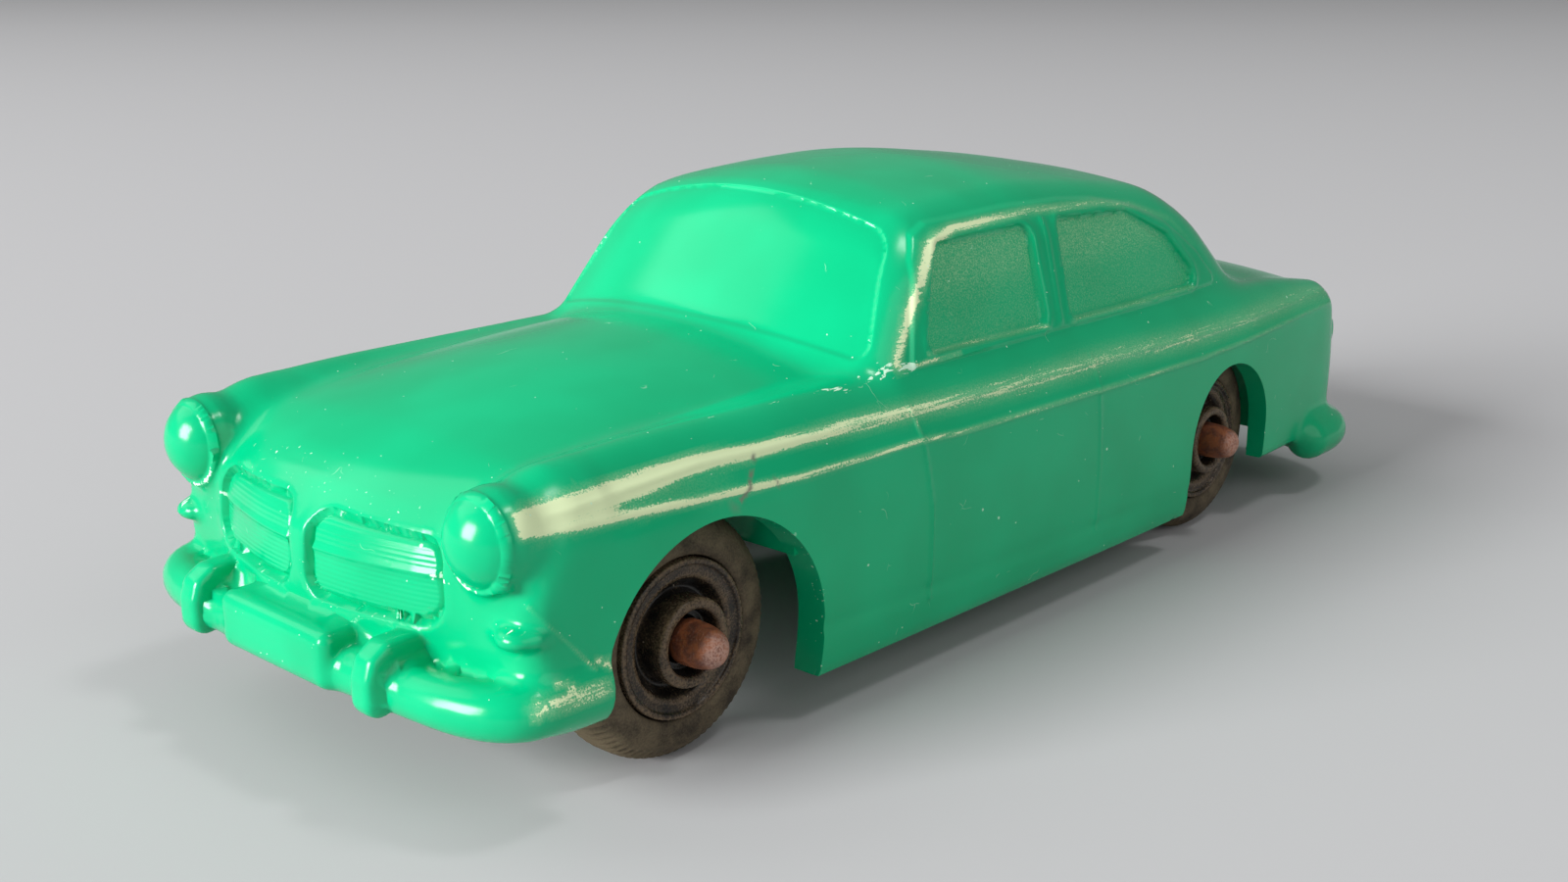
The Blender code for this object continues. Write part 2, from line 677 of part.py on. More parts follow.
def cut_hollow(body):
    """Hollows the body from below and opens the wheel arches."""
    below = -3 * MM
    inner = above(sunk(lower_shape, WALL), below)
    hollow = moulded_lower("hollow", inner, HOLLOW_CUTS, CUTTERS)
    inner = above(sunk(cabin_shape, WALL), WAIST_Z)
    upper = moulded_cabin("cabin_hollow", inner, CABIN_HOLLOW_CUTS, CUTTERS)
    combine(hollow, upper, "UNION")
    combine(body, hollow, "DIFFERENCE")
    for name, axle_x, setback, radius, top_z in wheel_places():
        outline = arch_outline(axle_x - setback, radius, top_z)
        room = TYRE_RADIUS + WHEEL_ROOM
        for side in (-1, 1):
            low, high = sorted((side * LUG_OUTER_Y, side * (HALF_WIDTH + 2 * MM)))
            combine(body, plate(name + "_arch", outline, low, high), "DIFFERENCE", "MANIFOLD")
            low, high = sorted((side * LUG_OUTER_Y, side * (HUB_FACE_Y + WHEEL_ROOM)))
            box = cylinder(name + "_room", axle_x, AXLE_Z, room, low, high, 32)
            combine(body, box, "DIFFERENCE", "MANIFOLD")


def add_axle_carriers(body):
    """Joins a cross web and two bored lugs for each axle to the inside of the body."""
    for name, axle_x, _, _, arch_top in wheel_places():
        toward = 1 if name == "front" else -1
        web_x = axle_x - toward * (WEB_FROM_AXLE + WEB_THICKNESS / 2)
        top = CREST_Z if name == "front" else arch_top + WALL
        low = (web_x - WEB_THICKNESS / 2, -HALF_WIDTH, WEB_BOTTOM_Z)
        high = (web_x + WEB_THICKNESS / 2, HALF_WIDTH, top)
        carrier = block(name + "_web", low, high)
        for side in (-1, 1):
            inner, outer = sorted((side * LUG_Y, side * LUG_OUTER_Y))
            far_x = axle_x + toward * LUG_HALF_LENGTH
            start, end = (0, -180) if name == "front" else (180, 360)
            eye = arc(axle_x, AXLE_Z, LUG_HALF_LENGTH, start, end, 14)
            corner = WEB_BOTTOM_Z + WEB_THICKNESS / 2
            outline = [(far_x, top), *eye, (web_x, corner), (web_x, top)]
            combine(carrier, plate(name + "_lug", outline, inner, outer), "UNION")
        reach = LUG_OUTER_Y + WALL
        bore = cylinder("bore", axle_x, AXLE_Z, AXLE_RADIUS + BORE_CLEARANCE, -reach, reach, 20)
        combine(carrier, bore, "DIFFERENCE")
        within = moulded_lower("within", above(sunk(lower_shape, WALL / 2), 0), HOLLOW_CUTS, CUTTERS)
        combine(carrier, within, "INTERSECT", "MANIFOLD")
        combine(body, carrier, "UNION", "MANIFOLD")


def sink_windows(body):
    """Sinks the side windows and the two grille openings into the skin."""
    pillar_x = SCREEN_X - 21.8 * MM
    front_window = [
        (SCREEN_X - 8.2 * MM, WINDOW_BOTTOM_Z),
        (SCREEN_X - 11.8 * MM, WINDOW_TOP_Z),
        (pillar_x, WINDOW_TOP_Z),
        (pillar_x, WINDOW_BOTTOM_Z),
    ]
    rear_window = [
        (pillar_x - 3.6 * MM, WINDOW_BOTTOM_Z),
        (pillar_x - 3.6 * MM, WINDOW_TOP_Z),
        (REAR_WINDOW_X + 17.0 * MM, WINDOW_TOP_Z - 0.5 * MM),
        (REAR_WINDOW_X + 12.0 * MM, WINDOW_TOP_Z - 2.7 * MM),
        (REAR_WINDOW_X + 7.6 * MM, WINDOW_BOTTOM_Z - 0.2 * MM),
    ]
    for side in (-1, 1):
        for outline in (front_window, rear_window):
            low, high = sorted((side * (BELT_HALF_WIDTH - 7 * MM), side * HALF_WIDTH))
            pane = plate("window", rounded(outline, 1.2 * MM), low, high)
            core = moulded_cabin("core", above(sunk(cabin_shape, WINDOW_DEPTH), WAIST_Z), CABIN_CUTS, CUTTERS)
            combine(pane, core, "DIFFERENCE")
            combine(body, pane, "DIFFERENCE")
        corners = [
            (side * GRILLE_INNER_Y, GRILLE_LOW_Z),
            (side * GRILLE_INNER_Y, GRILLE_HIGH_Z),
            (side * GRILLE_OUTER_Y, GRILLE_HIGH_Z - 0.2 * MM),
            (side * GRILLE_OUTER_Y, GRILLE_LOW_Z + 0.2 * MM),
        ]
        opening = plate("grille", rounded(corners, 1.4 * MM), NOSE_X - 4 * MM, FRONT_END, "X")
        core = moulded_lower("core", above(sunk(lower_shape, GRILLE_DEPTH), SKIRT_LINE), BODY_CUTS, CUTTERS)
        combine(opening, core, "DIFFERENCE")
        combine(body, opening, "DIFFERENCE")


def make_body():
    """The body: one moulding with everything on it that doesn't turn."""
    body = moulded_lower("body_shell", above(lower_shape, SKIRT_LINE), BODY_CUTS, PARTS)
    top = moulded_cabin("cabin", above(cabin_shape, SHOULDER_Z), CABIN_CUTS, CUTTERS)
    combine(body, top, "UNION")
    add_front_trim(body)
    front = (FRONT_END - 0.35 * MM, FRONT_BUMPER_Z, FRONT_BUMPER_RISE, FRONT_BUMPER_POWERS)
    add_bumper(body, "front_bumper", bumper_path(*front, 1))
    rear = (REAR_END, REAR_BUMPER_Z, 0, REAR_BUMPER_POWERS)
    add_bumper(body, "rear_bumper", bumper_path(*rear, -1))
    sink_windows(body)
    cut_hollow(body)
    add_axle_carriers(body)
    drop_slivers(body)


def make_axle(name, axle_x):
    """A steel rod with a domed head at each end, drawn along Y."""
    dome_y = AXLE_HEAD_Y + AXLE_HEAD_LENGTH - AXLE_DOME_HEIGHT
    half = [(0, AXLE_HEAD_Y + AXLE_HEAD_LENGTH)]
    for angle in (72, 54, 36, 18, 0):
        a = math.radians(angle)
        half.append((AXLE_HEAD_RADIUS * math.cos(a), dome_y + AXLE_DOME_HEIGHT * math.sin(a)))
    half.append((AXLE_HEAD_RADIUS, AXLE_HEAD_Y))
    half.append((AXLE_RADIUS, AXLE_HEAD_Y))
    other = [(radius, -along) for radius, along in reversed(half)]
    rod = turned(name, half + other, 20, closed=False)
    rod.location = (axle_x, 0, AXLE_Z)
    return rod


def hub_profile():
    """The hub's section: disc, dish, collar, recess and bore, outer side first."""
    back = HUB_INNER_Y
    step = 0.25 * MM
    bore = AXLE_RADIUS + BORE_CLEARANCE
    return [
        (RECESS_RADIUS, HUB_FACE_Y + COLLAR_HEIGHT - step),
        (RECESS_RADIUS + step, HUB_FACE_Y + COLLAR_HEIGHT),
        (COLLAR_RADIUS - step, HUB_FACE_Y + COLLAR_HEIGHT),
        (COLLAR_RADIUS, HUB_FACE_Y + COLLAR_HEIGHT - step),
        (COLLAR_RADIUS, HUB_FACE_Y - DISH_DEPTH + step),
        (COLLAR_RADIUS + step, HUB_FACE_Y - DISH_DEPTH),
        (DISH_RADIUS - step, HUB_FACE_Y - DISH_DEPTH),
        (DISH_RADIUS, HUB_FACE_Y - step),
        (DISH_RADIUS + step, HUB_FACE_Y),
        (RIM_RADIUS - step, HUB_FACE_Y),
        (RIM_RADIUS, HUB_FACE_Y - step),
        (RIM_RADIUS, back + step),
        (RIM_RADIUS - step, back),
        (bore, back),
        (bore, RECESS_FLOOR_Y),
        (RECESS_RADIUS, RECESS_FLOOR_Y),
    ]


def tyre_profile():
    """The tyre's section: a flat tread, round shoulders and a plain seat on the hub."""
    outer = HUB_FACE_Y + 0.1 * MM
    inner = outer - TYRE_WIDTH
    seat = RIM_RADIUS + FIT_GAP
    shoulder = TYRE_RADIUS - TYRE_SHOULDER
    top = [(seat, outer - 0.3 * MM), (seat + 0.4 * MM, outer)]
    for angle in (90, 60, 30, 0):
        a = math.radians(angle)
        top.append(
            (shoulder + TYRE_SHOULDER * math.cos(a), outer - TYRE_SHOULDER + TYRE_SHOULDER * math.sin(a))
        )
    bottom = [(radius, outer + inner - along) for radius, along in reversed(top)]
    return top + bottom


def make_wheel(place, axle_x, side):
    """One wheel: a hub and the tyre round it, both turned about the axle."""
    name = place + ("_left" if side > 0 else "_right")
    for piece, profile, steps in (("hub", hub_profile(), 32), ("tyre", tyre_profile(), 40)):
        wheel = turned(piece + "_" + name, profile, steps, closed=True)
        if side < 0:
            wheel.data.transform(Matrix.Rotation(math.pi, 4, "Z"))
        wheel.location = (axle_x, 0, AXLE_Z)


def finish_material(name, colour, roughness, metallic, prefixes):
    """Gives one material to every object whose name starts with one of the words."""
    material = bpy.data.materials.new(name)
    material.use_nodes = True
    shader = material.node_tree.nodes["Principled BSDF"]
    shader.inputs["Base Color"].default_value = (*colour, 1)
    shader.inputs["Roughness"].default_value = roughness
    shader.inputs["Metallic"].default_value = metallic
    for found in PARTS.objects:
        if found.name.startswith(prefixes):
            found.data.materials.clear()
            found.data.materials.append(material)


def main():
    for old in list(bpy.data.objects):
        bpy.data.objects.remove(old)
    bpy.context.scene.collection.children.link(PARTS)
    bpy.context.scene.collection.children.link(CUTTERS)
    make_body()
    for place, axle_x, *_ in wheel_places():
        make_axle(place + "_axle", axle_x)
        for side in (1, -1):
            make_wheel(place, axle_x, side)
    for found in PARTS.objects:
        found.data.shade_smooth()
        found.data.set_sharp_from_angle(angle=math.radians(35))
    finish_material("green_plastic", (0.0, 0.36, 0.13), 0.25, 0.0, ("body",))
    finish_material("black_plastic", (0.012, 0.011, 0.010), 0.3, 0.0, ("hub",))
    finish_material("tyre_rubber", (0.03, 0.024, 0.018), 0.75, 0.0, ("tyre",))
    finish_material("rusty_steel", (0.30, 0.13, 0.07), 0.6, 0.7, ("front_axle", "rear_axle"))


main()
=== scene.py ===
# %% [markdown]
# # A moulded toy saloon car
#
# The toy is one thick green plastic moulding on two steel axles, with black plastic hubs
# and dusty rubber tyres. The imported CAD model fixes every size and every moving piece. This
# script dresses it: it models each piece again at full detail, in the same place, and gives
# each finish its own procedural material. We start by loading the frame.

# %% Load the frame
import json
import math

import bpy
import numpy as np
from mathutils import Matrix, Vector

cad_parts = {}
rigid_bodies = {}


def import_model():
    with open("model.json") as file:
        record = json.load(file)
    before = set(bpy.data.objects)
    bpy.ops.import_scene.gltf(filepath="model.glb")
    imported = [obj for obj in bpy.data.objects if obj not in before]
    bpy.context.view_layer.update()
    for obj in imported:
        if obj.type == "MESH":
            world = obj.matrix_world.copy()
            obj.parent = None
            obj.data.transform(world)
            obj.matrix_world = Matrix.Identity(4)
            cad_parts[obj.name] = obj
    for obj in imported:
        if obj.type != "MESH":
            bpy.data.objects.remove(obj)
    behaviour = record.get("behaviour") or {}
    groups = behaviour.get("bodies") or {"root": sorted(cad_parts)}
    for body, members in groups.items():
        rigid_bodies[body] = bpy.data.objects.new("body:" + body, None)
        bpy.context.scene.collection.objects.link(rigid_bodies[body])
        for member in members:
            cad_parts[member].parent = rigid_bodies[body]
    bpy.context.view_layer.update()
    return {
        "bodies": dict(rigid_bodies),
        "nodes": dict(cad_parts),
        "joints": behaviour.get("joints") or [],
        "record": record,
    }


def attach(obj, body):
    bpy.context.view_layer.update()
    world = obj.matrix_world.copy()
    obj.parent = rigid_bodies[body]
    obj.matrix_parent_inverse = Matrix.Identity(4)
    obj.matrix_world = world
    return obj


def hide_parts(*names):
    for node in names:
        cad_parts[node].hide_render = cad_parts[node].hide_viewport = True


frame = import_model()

MM = 0.001

# %% [markdown]
# ## The camera
#
# A photograph of a small thing from close by has a strong perspective. The place and the
# angles below were worked out from the four wheels, whose true size and spacing are known,
# so the render can be laid over the photograph.

# %% Camera
IMAGE_WIDTH = 1600
FOCAL_PIXELS = 1830.12
CAMERA_PLACE = (103.871, 90.356, 49.363)
CAMERA_HEADING = 223.119
CAMERA_PITCH = 15.894
CAMERA_ROLL = -0.263

bpy.ops.object.camera_add(location=[c * MM for c in CAMERA_PLACE])
camera = bpy.context.object
turn = Matrix.Rotation(math.radians(CAMERA_HEADING - 90), 3, "Z")
tip = Matrix.Rotation(math.radians(90 - CAMERA_PITCH), 3, "X")
roll = Matrix.Rotation(math.radians(CAMERA_ROLL), 3, "Z")
camera.rotation_euler = (turn @ tip @ roll).to_euler()
camera.data.sensor_width = 36
camera.data.lens = camera.data.sensor_width * FOCAL_PIXELS / IMAGE_WIDTH
camera.data.clip_start = MM
bpy.context.scene.camera = camera

# %% [markdown]
# ## Studio
#
# The toy was lit by one broad soft light in front of its nose: the hood, the screen and the
# lamps are bright, and the side is in half shade. One large area lamp there, weaker ones on
# both sides and an even pale surround give the same modelling at a plain level. They stand
# two metres away, so that the floor is lit evenly.

# %% Floor, lamps and world
bpy.ops.mesh.primitive_plane_add(size=6, location=(0, 0, 0))
floor = bpy.context.object
floor.name = "studio_floor"
floor_paint = bpy.data.materials.new("pale_floor")
floor_paint.use_nodes = True
floor_shader = floor_paint.node_tree.nodes["Principled BSDF"]
floor_shader.inputs["Base Color"].default_value = (0.50, 0.50, 0.51, 1)
floor_shader.inputs["Roughness"].default_value = 0.9
floor.data.materials.append(floor_paint)


LAMP_DISTANCE = 2


def area_lamp(name, azimuth, height, size, power):
    """A square lamp that looks at the middle of the toy."""
    a, e = math.radians(azimuth), math.radians(height)
    way = Vector((math.cos(a) * math.cos(e), math.sin(a) * math.cos(e), math.sin(e)))
    target = Vector((0.01, 0, 0.015))
    bpy.ops.object.light_add(type="AREA", location=target + way * LAMP_DISTANCE)
    lamp = bpy.context.object
    lamp.name = name
    lamp.rotation_euler = way.to_track_quat("Z", "Y").to_euler()
    lamp.data.size = size
    lamp.data.energy = power
    return lamp


area_lamp("window_light", -13, 20, 0.9, 74)
area_lamp("screen_glow", -62, 42, 1.3, 7)
area_lamp("top_glint", 124, 66, 0.3, 5)
area_lamp("side_fill", 88, 26, 1.6, 9)

world = bpy.data.worlds.new("studio")
bpy.context.scene.world = world
world.use_nodes = True
surround = world.node_tree
paths = surround.nodes.new("ShaderNodeLightPath")
level = surround.nodes.new("ShaderNodeMapRange")
level.inputs["To Min"].default_value = 0.26
level.inputs["To Max"].default_value = 0.8
surround.links.new(paths.outputs["Is Camera Ray"], level.inputs["Value"])
surround.links.new(level.outputs[0], surround.nodes["Background"].inputs["Strength"])
surround.nodes["Background"].inputs["Color"].default_value = (0.88, 0.88, 0.88, 1)
bpy.context.scene.view_settings.view_transform = "Standard"

# %% [markdown]
# ## Small tools
#
# A few helpers do by script what hands do in the window: choose one piece, apply its
# modifiers, and set its place into its mesh. Everything is deselected first, because an
# operator acts on all that is selected.


# %% Helpers for pieces
def choose(piece):
    """Selects one piece alone and makes it the active one."""
    bpy.ops.object.select_all(action="DESELECT")
    piece.select_set(True)
    bpy.context.view_layer.objects.active = piece


def settle(piece):
    """Moves a piece's place, turn and scale into its mesh."""
    choose(piece)
    bpy.ops.object.transform_apply(location=True, rotation=True, scale=True)


def primitive(name, add, **settings):
    """A new mesh from one of Blender's own, with its place and scale settled."""
    bpy.ops.object.select_all(action="DESELECT")
    add(**settings)
    piece = bpy.context.object
    piece.name = name
    settle(piece)
    return piece


def edit_all(piece, step, **settings):
    """Runs one edit operator on the whole of a piece."""
    choose(piece)
    bpy.ops.object.mode_set(mode="EDIT")
    bpy.ops.mesh.select_all(action="SELECT")
    step(**settings)
    bpy.ops.object.mode_set(mode="OBJECT")


def modify(piece, kind, **settings):
    """Adds a modifier and applies it."""
    choose(piece)
    bpy.ops.object.modifier_add(type=kind)
    modifier = piece.modifiers[-1]
    for key, value in settings.items():
        setattr(modifier, key, value)
    bpy.ops.object.modifier_apply(modifier=modifier.name)


def cut_with(piece, tool, operation="DIFFERENCE"):
    """Cuts or joins a piece with a closed tool, which is then removed."""
    modify(piece, "BOOLEAN", object=tool, operation=operation, solver="MANIFOLD")
    bpy.data.objects.remove(tool)


def join(pieces, name):
    """Makes one object of several."""
    bpy.ops.object.select_all(action="DESELECT")
    for piece in pieces:
        piece.select_set(True)
    bpy.context.view_layer.objects.active = pieces[0]
    bpy.ops.object.join()
    pieces[0].name = name
    return pieces[0]


def points_of(piece):
    """A mesh's points in mm, one row each."""
    flat = np.empty(len(piece.data.vertices) * 3, np.float32)
    piece.data.vertices.foreach_get("co", flat)
    return flat.reshape(-1, 3).astype(float) / MM


def place_points(piece, points):
    """Writes points in mm back to a mesh."""
    piece.data.vertices.foreach_set("co", (points * MM).astype(np.float32).ravel())
    piece.data.update()


def triangles_in(piece):
    """How many triangles a mesh has."""
    piece.data.calc_loop_triangles()
    return len(piece.data.loop_triangles)


# %% [markdown]
# ## The forms of the body
#
# The real mould was carved by hand, with soft shoulders that no stack of boxes gives. Here
# each main form is a formula: how far a point is outside the skin, less than zero inside.
# The named curves below say how wide and how high the body is along its length. They follow
# the CAD part, a little slimmer at its tail and front bumper. All sizes are in mm.

# %% Driving sizes, in mm
FRONT_END = 52.65
REAR_END = -52.65
NOSE_X = 50.05
TAIL_X = -50.25
FRONT_AXLE_X = 34.05
REAR_AXLE_X = -26.45
AXLE_Z = 8.0
HALF_WIDTH = 19.4
WALL = 2.3
SILL_Z = 3.0
CREASE_Z = 6.2
WAIST_Z = 11.0
SHOULDER_Z = 18.3
CREST_Z = 21.1
CREST_Y = 15.5
COWL_Z = 23.4
HOOD_LIP_Z = 17.6
BOOT_LIP_Z = 18.4
SCREEN_X = 19.05
REAR_WINDOW_X = -33.05
SCREEN_SLOPE = 0.816
REAR_WINDOW_SLOPE = 1.1
ROOF_Z = 33.0
BELT_Z = 21.2
BELT_HALF_WIDTH = 16.6
REAR_BUMPER_Z = 4.9
REAR_BUMPER_RADIUS = 1.9
FRONT_BUMPER_TOP_Z = 9.55


# %% Curves and blends
def curve_through(points):
    """A smooth line through a few (place, value) points, level beyond its ends."""
    places, values = np.array(sorted(points), float).T
    step = np.diff(places)
    rise = np.diff(values) / step
    slope = np.concatenate([rise[:1], np.zeros(len(rise) - 1), rise[-1:]])
    for i in range(1, len(rise)):
        if rise[i - 1] * rise[i] > 0:
            slope[i] = 2 * rise[i - 1] * rise[i] / (rise[i - 1] + rise[i])

    def value(place):
        place = np.clip(place, places[0], places[-1])
        i = np.clip(np.searchsorted(places, place) - 1, 0, len(step) - 1)
        t = (place - places[i]) / step[i]
        bend = t * t * (3 - 2 * t)
        start = t * (1 - t) ** 2 * slope[i]
        end = -t * t * (1 - t) * slope[i + 1]
        return values[i] + bend * (values[i + 1] - values[i]) + step[i] * (start + end)

    return value


def meet(a, b, radius):
    """Depth inside both of two forms, with their shared edge rounded."""
    inside = np.minimum(np.maximum(a, b), -radius)
    return inside + np.hypot(np.maximum(a + radius, 0), np.maximum(b + radius, 0))


def merge(a, b, reach):
    """Two forms joined with a soft fillet."""
    near = np.maximum(reach - np.abs(a - b), 0) / reach
    return np.minimum(a, b) - near * near * reach / 4


def fade(value, low, high):
    """Rises smoothly from 0 at low to 1 at high."""
    t = np.clip((value - low) / (high - low), 0, 1)
    return t * t * (3 - 2 * t)


# %% The lower body's curves
HALF_LINE = curve_through([
    (TAIL_X, HALF_WIDTH - 2.4), (TAIL_X + 6, HALF_WIDTH - 1.2),
    (REAR_AXLE_X, HALF_WIDTH - 0.3), (0, HALF_WIDTH), (FRONT_AXLE_X, HALF_WIDTH - 0.2),
    (NOSE_X - 6, HALF_WIDTH - 0.7), (NOSE_X, HALF_WIDTH - 1.6),
])
SECTION_LINE = curve_through([
    (SILL_Z, -0.5), (CREASE_Z, -0.1), (WAIST_Z, 0), (SHOULDER_Z - 2.3, -0.2),
    (SHOULDER_Z, -0.9), (CREST_Z - 1, -1.9), (CREST_Z + 1, -3.5),
])
CREST_LINE = curve_through([
    (TAIL_X, CREST_Z - 3.2), (TAIL_X + 4, CREST_Z - 2.6), (TAIL_X + 12, CREST_Z - 1.7),
    (REAR_AXLE_X, CREST_Z - 0.5), (0, CREST_Z), (FRONT_AXLE_X, CREST_Z),
    (NOSE_X - 6, CREST_Z - 0.3), (NOSE_X, CREST_Z - 0.8),
])
SPINE_LINE = curve_through([
    (TAIL_X, BOOT_LIP_Z - 0.4), (TAIL_X + 2, BOOT_LIP_Z + 0.5),
    (TAIL_X + 6, BOOT_LIP_Z + 1.6), (TAIL_X + 12, BOOT_LIP_Z + 2.8),
    (REAR_WINDOW_X, COWL_Z - 1.0), (0, COWL_Z), (SCREEN_X, COWL_Z),
    (FRONT_AXLE_X - 5, COWL_Z - 0.5), (FRONT_AXLE_X, COWL_Z - 1.1),
    (NOSE_X - 8, HOOD_LIP_Z + 3.0), (NOSE_X - 4, HOOD_LIP_Z + 1.5), (NOSE_X - 1, HOOD_LIP_Z),
    (NOSE_X, HOOD_LIP_Z - 0.7),
])
VALLEY_LINE = curve_through([
    (TAIL_X, BOOT_LIP_Z - 1.0), (TAIL_X + 6, BOOT_LIP_Z + 0.5),
    (TAIL_X + 12, BOOT_LIP_Z + 1.5), (REAR_AXLE_X, CREST_Z - 0.3), (SCREEN_X, CREST_Z),
    (FRONT_AXLE_X, CREST_Z - 0.5), (NOSE_X - 8, CREST_Z - 1.3),
    (NOSE_X - 4, HOOD_LIP_Z + 0.6), (NOSE_X, HOOD_LIP_Z - 1.6),
])
SKIRT_LINE = curve_through(
    [(REAR_AXLE_X - 6.3, 5.2), (REAR_AXLE_X + 5.3, SILL_Z), (25.2, SILL_Z), (40.9, 6.4)]
)
NOSE_LEAN = curve_through([
    (SILL_Z, -2.5), (7.9, -0.4), (11.3, 0), (14.8, -0.15), (16.3, -0.6),
    (HOOD_LIP_Z, -1.1), (HOOD_LIP_Z + 2, -2.2),
])
NOSE_PLAN = curve_through([(0, 0), (4, 0.25), (9.4, 1.25), (11.9, 2.0), (17, 2.8), (19.4, 3.3)])
TAIL_LEAN = curve_through(
    [(SILL_Z, 1.0), (6.9, 0.2), (WAIST_Z, 0), (BOOT_LIP_Z - 2, 0.1), (BOOT_LIP_Z + 1, 0.7)]
)


def lower_body(x, y, z):
    """The fenders, hood, boot and sides, with no floor."""
    s = np.abs(y)
    side = s - HALF_LINE(x) - SECTION_LINE(z)
    dome = SPINE_LINE(x) + (VALLEY_LINE(x) - SPINE_LINE(x)) * (s / (CREST_Y - 2.5)) ** 2
    ridge = CREST_LINE(x) - (s - CREST_Y) ** 2 / 6.8
    top = z + merge(-dome, -ridge, 1.2)
    nose = x - NOSE_X - NOSE_LEAN(z) + NOSE_PLAN(s)
    tail = TAIL_X + TAIL_LEAN(z) + 2.1 * (s / HALF_WIDTH) ** 2 - x
    corner = 2.3 - 1.2 * fade(x, 40, 44) * fade(-z, -17, -14)
    return meet(meet(side, top, 1.5), np.maximum(nose, tail), corner)


# %% The cabin's curves
ROOF_LINE = curve_through([
    (REAR_WINDOW_X - 2, ROOF_Z - 6.6), (REAR_WINDOW_X + 6, ROOF_Z - 3.8),
    (REAR_WINDOW_X + 14, ROOF_Z - 2.1), (REAR_WINDOW_X + 22, ROOF_Z - 0.85),
    (REAR_WINDOW_X + 31, ROOF_Z), (SCREEN_X - 13, ROOF_Z - 0.3), (SCREEN_X - 8, ROOF_Z - 1.2),
    (SCREEN_X - 4, ROOF_Z - 2.4),
])
ROOF_CROWN = curve_through([(REAR_WINDOW_X + 10, 1.3), (REAR_WINDOW_X + 32, 2.5)])
CABIN_TAPER = curve_through([
    (REAR_WINDOW_X - 2, -1.7), (REAR_WINDOW_X + 8, -0.5), (REAR_WINDOW_X + 20, 0),
    (SCREEN_X, 0.1),
])


def cabin(x, y, z):
    """The roof and pillars, with no floor."""
    s = np.abs(y)
    across = (s / BELT_HALF_WIDTH) ** 2
    side = s - BELT_HALF_WIDTH - CABIN_TAPER(x) + 0.25 * (z - BELT_Z)
    roof = z - ROOF_LINE(x) + ROOF_CROWN(x) * (s / (BELT_HALF_WIDTH - 2.4)) ** 2
    screen = x - SCREEN_X + SCREEN_SLOPE * (z - COWL_Z) + 5.2 * across
    rear = REAR_WINDOW_X + 0.4 + REAR_WINDOW_SLOPE * (z - COWL_Z) + 2.2 * across - x
    form = meet(side, roof, 2.8)
    form = meet(form, screen / math.hypot(1, SCREEN_SLOPE), 1.6)
    return meet(form, rear / math.hypot(1, REAR_WINDOW_SLOPE), 2.8)


# %% [markdown]
# ## Raised and sunk lines
#
# The panes, their frames, the door lines, the two trim lines and the grille openings are
# shallow steps in the skin. Each is drawn flat, seen from the side or from the front, and a
# point's distance from that drawing says how far its skin stands proud or lies deep.


# %% Distances from flat drawings
def line_distance(u, v, path):
    """Distance from an open line in a plane."""
    best = np.full(np.shape(u), 1e3)
    for (ax, ay), (bx, by) in zip(path[:-1], path[1:]):
        ex, ey = bx - ax, by - ay
        t = np.clip(((u - ax) * ex + (v - ay) * ey) / (ex * ex + ey * ey), 0, 1)
        best = np.minimum(best, np.hypot(u - ax - t * ex, v - ay - t * ey))
    return best


def outline_distance(u, v, ring):
    """Distance from a closed outline, less than zero inside."""
    best = line_distance(u, v, [*ring, ring[0]])
    inside = np.zeros(np.shape(u), bool)
    for (ax, ay), (bx, by) in zip(ring, [*ring[1:], ring[0]]):
        if ay != by:
            inside ^= ((ay > v) != (by > v)) & (u < (bx - ax) * (v - ay) / (by - ay) + ax)
    return np.where(inside, -best, best)


def inset(ring, amount):
    """An anticlockwise outline with its edges moved inwards."""
    ring = np.array(ring, float)
    edge = np.roll(ring, -1, 0) - ring
    edge /= np.hypot(*edge.T)[:, None]
    inward = np.stack([-edge[:, 1], edge[:, 0]], 1)
    before = np.roll(inward, 1, 0)
    share = 1 + (before * inward).sum(1)[:, None]
    return [tuple(p) for p in ring + amount * (before + inward) / share]


def rounded_distance(u, v, ring, radius):
    """Distance from a closed outline with rounded corners."""
    return outline_distance(u, v, inset(ring, radius)) - radius


# %% The drawings, seen from the side as (x, z) and from the front as (|y|, z)
FRONT_PANE = [(11.1, 21.6), (9.1, 26.7), (7.5, 28.7), (-2.9, 28.8), (-3.1, 21.4)]
REAR_PANE = [(-6.0, 21.4), (-6.2, 28.8), (-16.0, 28.3), (-21.2, 25.9), (-25.8, 21.3)]
WINDOW_POST = [(-4.6, 21.6), (-4.7, 28.8)]
FRAME_EDGE = [
    (12.9, 21.0), (11.9, 24.2), (10.5, 27.9), (9.3, 29.4), (7.5, 30.0), (-1.9, 30.2),
    (-8.1, 30.0), (-12.5, 29.6), (-17.2, 28.6), (-21.3, 26.9), (-25.6, 24.0), (-28.6, 21.0),
]
DOOR_FRONT = [(14.6, 19.0), (14.2, 16.8), (13.5, 12.4), (13.5, 5.6)]
DOOR_REAR = [(-6.6, 19.0), (-6.7, 5.6)]
LOWER_TRIM = [
    (46.6, 18.3), (45.8, 18.1), (25.8, 17.0), (14.6, 16.9), (10.2, 16.6),
    (-5.7, 16.4), (-21.6, 16.2), (-28.6, 16.4), (-40, 16.9), (-46, 17.0),
]
SHOULDER_TRIM = [
    (46.8, 18.7), (45.1, 18.8), (38.8, 19.1), (33.8, 19.3), (28.6, 19.1), (20.7, 18.95),
    (14.0, 18.75), (0.8, 18.4), (-7, 18.4), (-23, 17.9), (-40, 18.1), (-46, 18.0),
]
GRILLE = [(12.0, 11.5), (11.6, 16.6), (0.9, 16.9), (0.7, 11.3)]
GRILLE_BAR = [(1.2, 14.4), (11.3, 14.55)]
